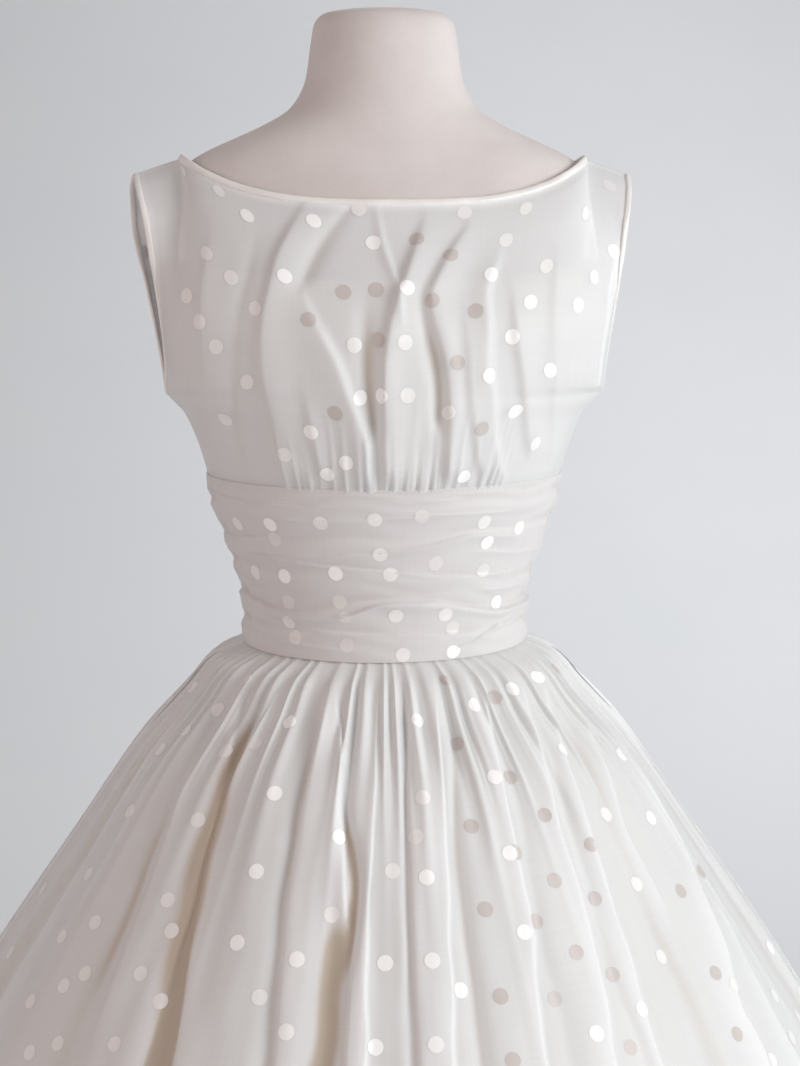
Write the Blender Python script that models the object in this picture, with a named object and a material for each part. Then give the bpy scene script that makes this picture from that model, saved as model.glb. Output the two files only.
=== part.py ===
"""A sleeveless, full-skirted wedding dress of sheer dotted cloth, standing on a limbless dress form.

Metres, +Z up. The dress faces -Y, and +X is to the right of someone who looks at its front.
The origin is on the floor, under the middle of the form's stand.

Every cloth piece is a thin wall on a grid of rows (up the cloth) and columns (across it). A smooth
base surface comes from the section tables below. Gathers and folds push the wall in or out along
one smooth direction for each point, so that a wall never crosses itself.
"""
from typing import NamedTuple

import bmesh
import bpy
import numpy as np

# ---------------------------------------------------------------- driving dimensions
WAIST_Z = 1.040            # seam between waistband and skirt
BAND_TOP_Z = 1.174         # seam between bodice and waistband
HEM_Z = 0.340
SEAM_GAP = 0.0003          # between pieces that are sewn together
CLOTH_WALL = 0.0020        # measured along the base direction, so steep gathers keep over 1 mm
LINING_WALL = 0.0015
LINING_TOP_SHARE = 0.75    # the lining ends below this share of the bodice height
FRONT_LINING_INSET = 0.0060
BACK_LINING_INSET = 0.0050
BAND_BACKING = 0.0030      # inner face of the waistband behind its smooth base

NECK_HALF_WIDTH = 0.1575   # bodice edge at the shoulder, under the neck binding
NECK_POINT_Z = 1.4150
FRONT_NECK_Y = -0.0815
FRONT_NECK_Z = 1.3806
BACK_NECK_Y = 0.0930
BACK_NECK_Z = 1.3700
NECK_CURVE_POWER = 3.3     # how flat the neckline runs before it turns up to the shoulder
SHOULDER_TIP = (0.1890, 1.4050)   # x, z

NECK_BINDING_RADIUS = 0.0027
ARM_BINDING_RADIUS = 0.0019
BINDING_GAP = 0.0008       # a little more than the seam gap, for the straight runs of the cord
PLACKET_HALF_WIDTH = 0.007
PLACKET_WALL = 0.0012
PLACKET_END = 0.06         # how far it stops short of the seams, as a share of the last row

FRONT_BODICE_GATHERS = 20
BACK_BODICE_GATHERS = 6
BODICE_GATHER_HEIGHT = 0.0016
BODICE_GATHER_FADE = 0.42  # share of the bodice height over which the gathers die away
SKIRT_GATHERS = 64
SKIRT_FOLDS = 32           # every second gather grows into a fold
COLUMNS_PER_GATHER = 3

FORM_SIDES = 32
POLE_RADIUS = 0.014
POLE_COLLAR = (0.036, 0.010)      # radius, height
BASE_RADIUS = 0.200
BASE_HEIGHT = 0.012
BASE_HUB = (0.030, 0.026)         # radius, height above the plate
BASE_BEVEL = 0.003


# ---------------------------------------------------------------- section tables
class Ring(NamedTuple):
    """A level section: an oval with its own depth in front of and behind the middle."""
    z: float
    half_width: float
    front: float
    back: float


class Line(NamedTuple):
    """A point of a line up the bodice, at a share of its height."""
    share: float
    x: float
    y: float
    z: float


class BandLine(NamedTuple):
    """A ridge or a trough round the waistband: its height at five places, and how far it is out."""
    z_left: float
    z_left_front: float
    z_middle: float
    z_right_front: float
    z_right: float
    out: float


class BodiceFold(NamedTuple):
    """A soft fold of the bodice front: three points down its line, its half width and its height."""
    top: tuple
    middle: tuple
    bottom: tuple
    width: float
    height: float


class SkirtRow(NamedTuple):
    """A level row of the skirt: its section, and the height of the gathers and folds there."""
    z: float
    radius: float
    front_ratio: float
    back_ratio: float
    gather: float
    fold: float


class SkirtFold(NamedTuple):
    """A large fold of the skirt: its angle at the waist and the hem, half width, and height."""
    top_deg: float
    hem_deg: float
    width_deg: float
    height: float


FORM_RINGS = (
    Ring(0.800, 0.150, 0.105, 0.115),
    Ring(0.803, 0.154, 0.108, 0.118),
    Ring(0.860, 0.163, 0.112, 0.123),
    Ring(0.930, 0.148, 0.103, 0.112),
    Ring(0.990, 0.120, 0.092, 0.093),
    Ring(1.040, 0.1020, 0.0815, 0.0755),
    Ring(1.075, 0.1045, 0.0835, 0.0765),
    Ring(1.120, 0.114, 0.088, 0.082),
    Ring(1.174, 0.129, 0.094, 0.091),
    Ring(1.222, 0.143, 0.103, 0.097),
    Ring(1.272, 0.152, 0.108, 0.101),
    Ring(1.325, 0.156, 0.098, 0.099),
    Ring(1.360, 0.160, 0.084, 0.087),
    Ring(1.386, 0.161, 0.0735, 0.0765),
    Ring(1.402, 0.1578, 0.0650, 0.070),
    Ring(1.412, 0.149, 0.0610, 0.064),
    Ring(1.421, 0.134, 0.0575, 0.060),
    Ring(1.430, 0.114, 0.054, 0.056),
    Ring(1.440, 0.092, 0.052, 0.053),
    Ring(1.453, 0.0715, 0.0515, 0.051),
    Ring(1.474, 0.0600, 0.051, 0.049),
    Ring(1.500, 0.0560, 0.050, 0.047),
    Ring(1.515, 0.0530, 0.047, 0.045),
    Ring(1.522, 0.0460, 0.041, 0.039),
    Ring(1.5245, 0.0340, 0.030, 0.029),
)

FRONT_SIDE = (
    Line(0.00, 0.1400, 0.000, BAND_TOP_Z),
    Line(0.12, 0.1470, 0.000, 1.198),
    Line(0.24, 0.1570, 0.000, 1.221),
    Line(0.33, 0.1690, 0.000, 1.2345),
    Line(0.38, 0.1700, -0.015, 1.2390),
    Line(0.46, 0.1695, -0.030, 1.258),
    Line(0.70, 0.1745, -0.049, 1.322),
    Line(0.86, 0.1800, -0.042, 1.369),
    Line(0.95, 0.1860, -0.022, 1.393),
    Line(1.00, SHOULDER_TIP[0], 0.000, SHOULDER_TIP[1]),
)
FRONT_MIDDLE = (
    Line(0.00, 0.0, -0.1070, BAND_TOP_Z),
    Line(0.12, 0.0, -0.1150, 1.196),
    Line(0.33, 0.0, -0.1240, 1.240),
    Line(0.52, 0.0, -0.1250, 1.281),
    Line(0.70, 0.0, -0.1140, 1.319),
    Line(0.86, 0.0, -0.0970, 1.352),
    Line(1.00, 0.0, FRONT_NECK_Y, FRONT_NECK_Z),
)
BACK_SIDE = (
    Line(0.00, 0.1400, 0.000, BAND_TOP_Z),
    Line(0.12, 0.1470, 0.000, 1.198),
    Line(0.24, 0.1570, 0.000, 1.221),
    Line(0.33, 0.1690, 0.000, 1.2345),
    Line(0.38, 0.1710, 0.015, 1.2390),
    Line(0.46, 0.1745, 0.029, 1.258),
    Line(0.70, 0.1860, 0.041, 1.322),
    Line(0.86, 0.1930, 0.034, 1.369),
    Line(0.95, 0.1930, 0.018, 1.393),
    Line(1.00, SHOULDER_TIP[0], 0.000, SHOULDER_TIP[1]),
)
BACK_MIDDLE = (
    Line(0.00, 0.0, 0.1010, BAND_TOP_Z),
    Line(0.33, 0.0, 0.1110, 1.236),
    Line(0.52, 0.0, 0.1150, 1.277),
    Line(0.70, 0.0, 0.1140, 1.312),
    Line(0.86, 0.0, 0.1060, 1.343),
    Line(1.00, 0.0, BACK_NECK_Y, BACK_NECK_Z),
)
BODICE_ROWS = (0.00, 0.08, 0.20, 0.33, 0.39, 0.53, 0.72, 0.89, 1.00)
UNDERARM_SHARE = 0.33
NECK_BLEND_FROM = 0.55     # above this share the rows turn towards the neckline and the shoulder seam
NECK_POINT_SHARE = 0.80    # of the way from the middle to the side, where shoulder and neckline meet
FRONT_GATHER_SPAN = (-0.42, 0.42)
BACK_GATHER_SPAN = (0.14, 0.54)
PLAIN_COLUMNS = (0.52, 0.62, 0.71, NECK_POINT_SHARE, 0.87, 0.94, 1.00)
BACK_PLAIN_COLUMNS = (0.63, 0.72, NECK_POINT_SHARE, 0.87, 0.94, 1.00)

BODICE_FOLDS = (
    BodiceFold((-0.030, 1.372), (-0.055, 1.339), (-0.079, 1.302), 0.0095, -0.0018),
    BodiceFold((-0.068, 1.368), (-0.092, 1.300), (-0.088, 1.190), 0.0090, 0.0050),
    BodiceFold((-0.069, 1.320), (-0.047, 1.266), (-0.020, 1.182), 0.0070, 0.0060),
    BodiceFold((-0.024, 1.325), (-0.036, 1.262), (-0.020, 1.186), 0.0060, -0.0018),
    BodiceFold((0.018, 1.350), (-0.010, 1.285), (-0.003, 1.182), 0.0070, 0.0070),
    BodiceFold((0.016, 1.318), (0.019, 1.256), (0.027, 1.190), 0.0085, -0.0018),
    BodiceFold((0.028, 1.351), (0.026, 1.285), (0.038, 1.190), 0.0050, 0.0055),
    BodiceFold((0.064, 1.310), (0.061, 1.261), (0.058, 1.195), 0.0060, 0.0050),
    BodiceFold((0.092, 1.310), (0.085, 1.250), (0.080, 1.185), 0.0075, 0.0045),
)

BAND_RINGS = (
    Ring(WAIST_Z, 0.1130, 0.0925, 0.0860),
    Ring(1.060, 0.1130, 0.0930, 0.0860),
    Ring(1.078, 0.1130, 0.0935, 0.0860),
    Ring(1.105, 0.1205, 0.0970, 0.0890),
    Ring(1.135, 0.1300, 0.1010, 0.0940),
    Ring(1.155, 0.1375, 0.1045, 0.0980),
    Ring(BAND_TOP_Z, 0.1400, 0.1070, 0.1010),
)
BAND_LINES = (
    BandLine(1.0400, 1.0400, 1.0400, 1.0400, 1.0400, 0.0000),
    BandLine(1.051, 1.055, 1.055, 1.052, 1.050, 0.0012),
    BandLine(1.063, 1.0655, 1.0640, 1.0615, 1.059, -0.0012),
    BandLine(1.077, 1.0710, 1.0845, 1.0715, 1.070, 0.0024),
    BandLine(1.084, 1.0780, 1.0920, 1.0785, 1.078, -0.0014),
    BandLine(1.098, 1.0980, 1.1030, 1.0910, 1.088, 0.0008),
    BandLine(1.111, 1.1130, 1.1140, 1.1030, 1.097, -0.0012),
    BandLine(1.118, 1.1200, 1.1280, 1.1345, 1.127, 0.0018),
    BandLine(1.132, 1.1360, 1.1400, 1.1440, 1.140, -0.0010),
    BandLine(1.147, 1.1500, 1.1560, 1.1540, 1.153, 0.0014),
    BandLine(1.158, 1.1610, 1.1675, 1.1660, 1.164, -0.0008),
    BandLine(BAND_TOP_Z, BAND_TOP_Z, BAND_TOP_Z, BAND_TOP_Z, BAND_TOP_Z, 0.0000),
)
BAND_PLACES_DEG = (-90.0, -45.0, 0.0, 45.0, 90.0)
BAND_FRONT_COLUMNS = 22
BAND_BACK_COLUMNS = 11

SKIRT_ROWS = (
    SkirtRow(WAIST_Z, 0.1125, 0.820, 0.765, 0.0016, 0.000),
    SkirtRow(1.029, 0.1385, 0.850, 0.815, 0.0028, 0.000),
    SkirtRow(1.006, 0.1590, 0.865, 0.850, 0.0030, 0.001),
    SkirtRow(0.965, 0.1965, 0.885, 0.885, 0.0014, 0.0020),
    SkirtRow(0.900, 0.2420, 0.905, 0.905, 0.0004, 0.0040),
    SkirtRow(0.700, 0.3720, 0.930, 0.930, 0.0000, 0.0080),
    SkirtRow(HEM_Z, 0.5320, 0.935, 0.935, 0.0000, 0.0130),
)
SKIRT_FOLD_LIST = (
    SkirtFold(-76.0, -78.0, 6.0, -0.006),
    SkirtFold(-52.0, -55.0, 5.0, 0.006),
    SkirtFold(-45.0, -37.0, 4.0, -0.015),
    SkirtFold(-30.0, -26.5, 5.0, 0.007),
    SkirtFold(-23.5, -22.0, 3.0, -0.008),
    SkirtFold(-16.0, -17.5, 4.0, 0.006),
    SkirtFold(-12.5, -10.5, 3.2, -0.017),
    SkirtFold(-6.7, -9.0, 2.0, 0.004),
    SkirtFold(-1.0, -1.7, 3.0, 0.005),
    SkirtFold(8.5, 4.5, 2.5, -0.006),
    SkirtFold(21.0, 16.9, 4.0, 0.005),
    SkirtFold(36.0, 28.5, 4.5, -0.007),
    SkirtFold(52.0, 44.0, 5.0, 0.006),
    SkirtFold(75.0, 70.0, 6.0, -0.006),
    SkirtFold(104.0, 108.0, 6.0, 0.006),
    SkirtFold(126.0, 129.0, 4.5, -0.013),
    SkirtFold(147.0, 148.0, 5.0, 0.007),
    SkirtFold(166.0, 165.0, 4.0, -0.009),
    SkirtFold(188.0, 190.0, 5.0, 0.006),
    SkirtFold(203.0, 206.0, 4.0, -0.014),
    SkirtFold(222.0, 226.0, 5.0, 0.007),
    SkirtFold(244.0, 247.0, 5.0, -0.009),
)
LINING_ROWS = (   # a plain slip under the skirt: height, and how far it lies inside the skirt's section
    (WAIST_Z, 0.0070), (1.025, 0.0180), (0.960, 0.0300), (0.820, 0.0520), (0.600, 0.0700), (0.380, 0.0800),
)
LINING_COLUMNS = 32


# ---------------------------------------------------------------- helpers
def through(stations, values, at):
    """Smooth curve through a table: a cubic between stations, with slopes that never overshoot."""
    x = np.asarray(stations, float)
    y = np.asarray(values, float)
    at = np.clip(at, x[0], x[-1])
    step = np.diff(x)
    slope = np.diff(y) / step
    product = slope[:-1] * slope[1:]
    total = np.where(product > 0, slope[:-1] + slope[1:], 1.0)
    tangent = np.concatenate([slope[:1], np.where(product > 0, 2 * product / total, 0.0), slope[-1:]])
    k = np.clip(np.searchsorted(x, at, side="right") - 1, 0, len(x) - 2)
    u = (at - x[k]) / step[k]
    rise = y[k + 1] - y[k]
    start, end = tangent[k] * step[k], tangent[k + 1] * step[k]
    return y[k] + u * start + u**2 * (3 * rise - 2 * start - end) + u**3 * (start + end - 2 * rise)


def smooth(u):
    """0 below 0, 1 above 1, and an even S between them."""
    u = np.clip(u, 0.0, 1.0)
    return u * u * (3 - 2 * u)


def unit(vectors):
    return vectors / np.linalg.norm(vectors, axis=-1, keepdims=True)


def outward(base):
    """The base surface's own direction at each point, away from the middle of the body."""
    normal = unit(np.cross(np.gradient(base, axis=1), np.gradient(base, axis=0)))
    away = (normal[..., :2] * base[..., :2]).sum()
    return normal * np.sign(away)


def keep_level(direction, where, axis):
    """Turn the directions at a seam into the seam's plane, so that its two edges stay parallel."""
    kept = direction[where].copy()
    kept[..., axis] = 0.0
    direction[where] = unit(kept)


def material(name, colour, roughness):
    """A matt finish. colour is linear red, green and blue."""
    made = bpy.data.materials.new(name)
    made.use_nodes = True
    shader = made.node_tree.nodes["Principled BSDF"]
    shader.inputs["Base Color"].default_value = (*colour, 1.0)
    shader.inputs["Roughness"].default_value = roughness
    shader.inputs["Metallic"].default_value = 0.0
    return made


def add_mesh(name, points, faces, finish):
    mesh = bpy.data.meshes.new(name)
    mesh.from_pydata(points.tolist(), [], faces)
    shell = bmesh.new()
    shell.from_mesh(mesh)
    bmesh.ops.recalc_face_normals(shell, faces=shell.faces[:])
    shell.to_mesh(mesh)
    shell.free()
    mesh.shade_smooth()
    mesh.set_sharp_from_angle(angle=np.radians(50.0))
    mesh.materials.append(finish)
    made = bpy.data.objects.new(name, mesh)
    bpy.context.scene.collection.objects.link(made)
    return made


def add_wall(name, outer, inner, finish, closed=False):
    """A closed wall between two grids that match; a closed one joins its last column to its first."""
    rows, columns = outer.shape[:2]
    size = rows * columns
    points = np.concatenate([outer.reshape(-1, 3), inner.reshape(-1, 3)])

    def at(row, column):
        return row * columns + column % columns

    faces = []
    for column in range(columns if closed else columns - 1):
        for row in range(rows - 1):
            a, b = at(row, column), at(row, column + 1)
            c, d = at(row + 1, column + 1), at(row + 1, column)
            faces.append((a, b, c, d))
            faces.append((size + d, size + c, size + b, size + a))
        low, low_next = at(0, column), at(0, column + 1)
        top, top_next = at(rows - 1, column), at(rows - 1, column + 1)
        faces.append((low_next, low, size + low, size + low_next))
        faces.append((top, top_next, size + top_next, size + top))
    if not closed:
        for row in range(rows - 1):
            first, first_up = at(row, 0), at(row + 1, 0)
            last, last_up = at(row, columns - 1), at(row + 1, columns - 1)
            faces.append((first, first_up, size + first_up, size + first))
            faces.append((last_up, last, size + last, size + last_up))
    return add_mesh(name, points, faces, finish)


def add_loft(name, rings, finish):
    """A solid through closed rings from the bottom up, with flat ends."""
    count, around = rings.shape[:2]
    faces = [tuple(reversed(range(around))), tuple(range((count - 1) * around, count * around))]
    for row in range(count - 1):
        for column in range(around):
            after = (column + 1) % around
            low, high = row * around, (row + 1) * around
            faces.append((low + column, low + after, high + after, high + column))
    return add_mesh(name, rings.reshape(-1, 3), faces, finish)


def add_turned(name, profile, around, finish):
    """A solid turned about the Z axis. The profile is radius and height, bottom to top."""
    angle = np.linspace(0.0, 2 * np.pi, around, endpoint=False)
    profile = np.asarray(profile, float)
    radius, height = profile[:, :1], profile[:, 1:]
    rings = np.stack([radius * np.cos(angle), radius * np.sin(angle), height + 0 * angle], axis=-1)
    return add_loft(name, rings, finish)


def add_cord(name, path, radius, finish, closed=False):
    """A round binding along a path."""
    curve = bpy.data.curves.new(name, "CURVE")
    curve.dimensions = "3D"
    curve.bevel_depth = radius
    curve.bevel_resolution = 1
    curve.use_fill_caps = not closed
    spline = curve.splines.new("POLY")
    spline.points.add(len(path) - 1)
    for point, place in zip(spline.points, path):
        point.co = (*place, 1.0)
    spline.use_cyclic_u = closed
    spline.use_smooth = True
    curve.materials.append(finish)
    made = bpy.data.objects.new(name, curve)
    bpy.context.scene.collection.objects.link(made)
    return made


def oval(angle, half_width, front, back):
    """A point of a level section; angle is from the middle of the front, towards +X."""
    depth = np.where(np.cos(angle) > 0, front, back)
    return half_width * np.sin(angle), -depth * np.cos(angle)


# ---------------------------------------------------------------- the bodice
def body_surface(side, middle, across, share):
    """The bodice below the neckline: an oval from the middle line to the side line at each height."""
    angle = across * np.pi / 2
    levels = [row.share for row in side]
    x_side, y_side, z_side = (through(levels, [row[k] for row in side], share) for k in (1, 2, 3))
    levels = [row.share for row in middle]
    y_mid, z_mid = (through(levels, [row[k] for row in middle], share) for k in (2, 3))
    bulge = np.cos(angle)
    return np.stack([x_side * np.sin(angle), y_side + (y_mid - y_side) * bulge,
                     z_side + (z_mid - z_side) * bulge], axis=-1)


def bodice_base(side, middle, across, share):
    """The smooth bodice: across runs from the middle (0) to a side (1 or -1), share up the height."""
    across, share = np.meshgrid(across, share)
    base = body_surface(side, middle, across, share)
    missing = top_edge(across, middle[-1].y, middle[-1].z) - body_surface(side, middle, across, share * 0 + 1)
    return base + smooth((share - NECK_BLEND_FROM) / (1 - NECK_BLEND_FROM))[..., None] * missing


def top_edge(across, neck_y, neck_z):
    """The neckline from the middle to the neck point, then the straight shoulder seam."""
    side = np.sign(across) + (across == 0)
    round_neck = np.clip(np.abs(across) / NECK_POINT_SHARE, 0, 1) * np.pi / 2
    along = np.clip((np.abs(across) - NECK_POINT_SHARE) / (1 - NECK_POINT_SHARE), 0, 1)
    x = NECK_HALF_WIDTH * np.sin(round_neck) + along * (SHOULDER_TIP[0] - NECK_HALF_WIDTH)
    y = neck_y * np.cos(round_neck)
    z = neck_z + (NECK_POINT_Z - neck_z) * np.sin(round_neck) ** NECK_CURVE_POWER
    z = z + along * (SHOULDER_TIP[1] - NECK_POINT_Z)
    return np.stack([side * x, y, z], axis=-1)


def gathered_columns(span, gathers, plain):
    """Columns across a bodice piece: three to a gather in its span, then the plain ones."""
    inside = np.linspace(span[0], span[1], gathers * COLUMNS_PER_GATHER + 1)
    return np.concatenate([inside, plain])


def bodice_gathers(across, share, span, gathers):
    """Small gathers along the lower seam, uneven in height, that die away up the cloth."""
    across, share = np.meshgrid(across, share)
    place = (across - span[0]) / (span[1] - span[0])
    inside = (place >= 0) & (place <= 1)
    uneven = 0.75 + 0.25 * np.sin(7.3 * place * np.pi)
    wave = 0.5 + 0.5 * np.cos(2 * np.pi * gathers * place)
    fade = np.clip(1 - share / BODICE_GATHER_FADE, 0, 1) ** 1.5
    return np.where(inside, 2 * BODICE_GATHER_HEIGHT * uneven * wave * fade, 0.0)


def bodice_folds(base):
    """The large soft folds of the bodice front, each a rounded ridge or trough along its own line."""
    x, z = base[..., 0], base[..., 2]
    out = np.zeros_like(x)
    for fold in BODICE_FOLDS:
        ends = (fold.bottom, fold.middle, fold.top)
        line = through([point[1] for point in ends], [point[0] for point in ends], z)
        low, high = fold.bottom[1], fold.top[1]
        fade = smooth((z - low + 0.012) / 0.030) * smooth((high - z + 0.030) / 0.060)
        out += fold.height * fade * np.exp(-((x - line) / fold.width) ** 2)
    return out


def seam_directions(base, share, gap_columns=()):
    """Wall directions of a bodice piece, turned into the planes of its seams."""
    direction = outward(base)
    keep_level(direction, np.s_[0, :], 2)
    below_arm = share <= UNDERARM_SHARE + 1e-6
    for column in (0, -1):
        if abs(base[0, column, 1]) < 1e-6:
            keep_level(direction, np.s_[below_arm, column], 1)
    shoulder = np.abs(base[-1, :, 0]) >= NECK_HALF_WIDTH - 1e-6
    keep_level(direction, np.s_[-1, shoulder], 1)
    for column in gap_columns:
        keep_level(direction, np.s_[:, column], 0)
    return direction


def part_seams(base, share, facing, gap_columns=()):
    """Move the edges of a bodice piece half a seam gap back from its neighbours."""
    base = base.copy()
    base[0, :, 2] += SEAM_GAP
    below_arm = share <= UNDERARM_SHARE + 1e-6
    for column in (0, -1):
        if abs(base[0, column, 1]) < 1e-6:
            base[below_arm, column, 1] += facing * SEAM_GAP / 2
    shoulder = np.abs(base[-1, :, 0]) >= NECK_HALF_WIDTH - 1e-6
    base[-1, shoulder, 1] += facing * SEAM_GAP / 2
    for column, side in gap_columns:
        base[:, column, 0] = side * SEAM_GAP / 2
    return base


def build_bodice_front(cloth):
    """The gathered front panel. Returns its base and directions, for the bindings."""
    plain = np.array(PLAIN_COLUMNS)
    columns = gathered_columns(FRONT_GATHER_SPAN, FRONT_BODICE_GATHERS, plain)
    columns = np.concatenate([-plain[::-1], columns])
    share = np.array(BODICE_ROWS)
    base = bodice_base(FRONT_SIDE, FRONT_MIDDLE, columns, share)
    direction = seam_directions(base, share)
    out = bodice_gathers(columns, share, FRONT_GATHER_SPAN, FRONT_BODICE_GATHERS) + bodice_folds(base)
    base = part_seams(base, share, -1)
    outer = base + direction * out[..., None]
    inner = outer - direction * CLOTH_WALL
    add_wall("bodice_front", outer, inner, cloth)
    return base, direction


def build_bodice_back(side, name, cloth):
    """One back panel: side is 1 for +X. Returns its base and directions, middle to side."""
    columns = gathered_columns(BACK_GATHER_SPAN, BACK_BODICE_GATHERS, np.array(BACK_PLAIN_COLUMNS))
    columns = np.concatenate([[0.0, 0.07], columns])
    share = np.array(BODICE_ROWS)
    base = bodice_base(BACK_SIDE, BACK_MIDDLE, columns, share)
    direction = seam_directions(base, share, gap_columns=(0,))
    out = bodice_gathers(columns, share, BACK_GATHER_SPAN, BACK_BODICE_GATHERS)
    base = part_seams(base, share, 1, gap_columns=((0, 1),))
    outer = base + direction * out[..., None]
    inner = outer - direction * CLOTH_WALL
    mirror = np.array([side, 1.0, 1.0])
    add_wall(name, outer * mirror, inner * mirror, cloth)
    return base, direction


def build_bodice_lining(name, side_lines, middle_lines, inset, cloth):
    """A plain, lower-cut lining just inside the panel, clear of the neckline and the armholes."""
    columns = np.linspace(-0.95, 0.95, 15)
    share = np.array([row for row in BODICE_ROWS if row <= LINING_TOP_SHARE])
    base = bodice_base(side_lines, middle_lines, columns, share)
    direction = outward(base)
    keep_level(direction, np.s_[0, :], 2)
    base[0, :, 2] += SEAM_GAP
    outer = base - direction * inset
    inner = outer - direction * LINING_WALL
    add_wall(name, outer, inner, cloth)


def edge_sides(edge, direction, inward):
    """At each point of a panel's edge, the way that leads past it within the cloth's own surface."""
    side = unit(np.cross(np.gradient(edge, axis=0), direction))
    return side * np.sign((side * (edge - inward)).sum(axis=-1, keepdims=True))


def edge_cord(edge, direction, side, radius):
    """Middle line of a binding that sits on a panel's edge, half way through the wall."""
    return edge - direction * CLOTH_WALL / 2 + side * (radius + BINDING_GAP)


def corner_point(edge, direction, side, other_edge, other_direction, other_side, radius):
    """The binding's middle where two panels meet: as far from the one edge as from the other."""
    half_way = unit(side + other_side)
    reach = (radius + BINDING_GAP) / np.dot(half_way, side)
    middle = (edge + other_edge) / 2 - (direction + other_direction) * CLOTH_WALL / 4
    return middle + half_way * reach


def build_bindings(front, back, satin):
    """The neck binding, open at the centre back, and a closed binding round each armhole."""
    mirror = np.array([-1.0, 1.0, 1.0])
    edges = []
    for base, direction in (front, back):
        neck = np.flatnonzero((base[-1, :, 0] >= -1e-3) & (base[-1, :, 0] <= NECK_HALF_WIDTH + 1e-6))
        if len(neck) > 12:                 # one point to a gather is enough for a smooth cord
            neck = np.concatenate([neck[:-5:COLUMNS_PER_GATHER], neck[-5:]])
        edge, way = base[-1, neck], direction[-1, neck]
        edges.append((edge, way, edge_sides(edge, way, base[-2, neck])))
    (front_edge, front_way, front_side), (back_edge, back_way, back_side) = edges
    front_half = edge_cord(front_edge, front_way, front_side, NECK_BINDING_RADIUS)[:-1]
    back_half = edge_cord(back_edge, back_way, back_side, NECK_BINDING_RADIUS)[:-1]
    back_half[0, 0] = SEAM_GAP
    corner = corner_point(front_edge[-1], front_way[-1], front_side[-1],
                          back_edge[-1], back_way[-1], back_side[-1], NECK_BINDING_RADIUS)
    right = np.concatenate([front_half, [corner], back_half[::-1]])
    left = right[::-1] * mirror
    add_cord("neck_binding", np.concatenate([left[:-1], right]), NECK_BINDING_RADIUS, satin)

    above = np.array(BODICE_ROWS) >= UNDERARM_SHARE - 1e-6
    arms = []
    for base, direction in (front, back):
        edge, way = base[above, -1], direction[above, -1]
        arms.append((edge, way, edge_sides(edge, way, base[above, -2])))
    (front_edge, front_way, front_side), (back_edge, back_way, back_side) = arms
    under, over = (corner_point(front_edge[k], front_way[k], front_side[k],
                                back_edge[k], back_way[k], back_side[k], ARM_BINDING_RADIUS) for k in (0, -1))
    up = edge_cord(front_edge, front_way, front_side, ARM_BINDING_RADIUS)[1:-1]
    down = edge_cord(back_edge, back_way, back_side, ARM_BINDING_RADIUS)[-2:0:-1]
    loop = np.concatenate([[under], up, [over], down])
    add_cord("armhole_binding_right", loop, ARM_BINDING_RADIUS, satin, closed=True)
    add_cord("armhole_binding_left", loop * mirror, ARM_BINDING_RADIUS, satin, closed=True)


def build_placket(cloth):
    """The narrow lap that covers the fastening down the centre back of the bodice."""
    reach = 2 / np.pi * np.arcsin(PLACKET_HALF_WIDTH / BACK_SIDE[3].x)
    base = bodice_base(BACK_SIDE, BACK_MIDDLE, np.array((-reach, 0.0, reach)), np.array(BODICE_ROWS))
    direction = outward(base)
    keep_level(direction, np.s_[0, :], 2)
    for end, inside in ((0, 1), (-1, -2)):
        base[end] += (base[inside] - base[end]) * PLACKET_END
    inner = base + direction * 2 * SEAM_GAP
    outer = inner + direction * PLACKET_WALL
    add_wall("back_placket", outer, inner, cloth)


# ---------------------------------------------------------------- the waistband
def band_grid(angles):
    """The draped waistband: rows follow the ridges and troughs that run round it."""
    places = np.radians(BAND_PLACES_DEG)
    folded = np.where(np.abs(angles) > np.pi / 2, np.sign(angles) * np.pi - angles, angles)
    rings = np.array(BAND_RINGS)
    outer, inner = [], []
    for line in BAND_LINES:
        z = through(places, line[:5], folded)
        half_width, front, back = (through(rings[:, 0], rings[:, k], z) for k in (1, 2, 3))
        x, y = oval(angles, half_width, front, back)
        level = unit(np.stack([x / half_width**2, y / np.where(y < 0, front, back) ** 2], axis=-1))
        base = np.stack([x, y, z], axis=-1)
        push = np.concatenate([level, np.zeros((len(angles), 1))], axis=-1)
        outer.append(base + push * line.out)
        inner.append(base - push * BAND_BACKING)
    return np.array(outer), np.array(inner)


def seam_angles(start, end, columns, radius):
    """Angles from one seam to the next, half a gap in from each."""
    gap = SEAM_GAP / 2 / radius
    return np.linspace(start + gap, end - gap, columns + 1)


def build_band(cloth):
    right, behind = np.pi / 2, np.pi
    radius = BAND_RINGS[0].half_width
    for name, start, end, columns in (
            ("cummerbund_front", -right, right, BAND_FRONT_COLUMNS),
            ("cummerbund_back_right", right, behind, BAND_BACK_COLUMNS),
            ("cummerbund_back_left", -behind, -right, BAND_BACK_COLUMNS)):
        outer, inner = band_grid(seam_angles(start, end, columns, radius * 0.75))
        add_wall(name, outer, inner, cloth)


# ---------------------------------------------------------------- the skirt
def skirt_section(angles, z, inset=0.0):
    """Points of the skirt's smooth section at each height, and the level direction away from it."""
    rows = np.array(SKIRT_ROWS)[::-1]
    radius, front, back = (through(rows[:, 0], rows[:, k], z)[:, None] for k in (1, 2, 3))
    radius = radius - inset
    x, y = oval(angles[None, :], radius, radius * front, radius * back)
    return np.stack([x, y, np.broadcast_to(z[:, None], x.shape)], axis=-1)


def skirt_directions(base):
    """Level at the waist seam, turning to the cloth's own slope a little below it."""
    own = outward(base)
    level = own.copy()
    level[..., 2] = 0.0
    depth = WAIST_Z - base[..., 2:]
    turn = smooth(depth / 0.04)
    return unit(unit(level) * (1 - turn) + own * turn)


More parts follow.
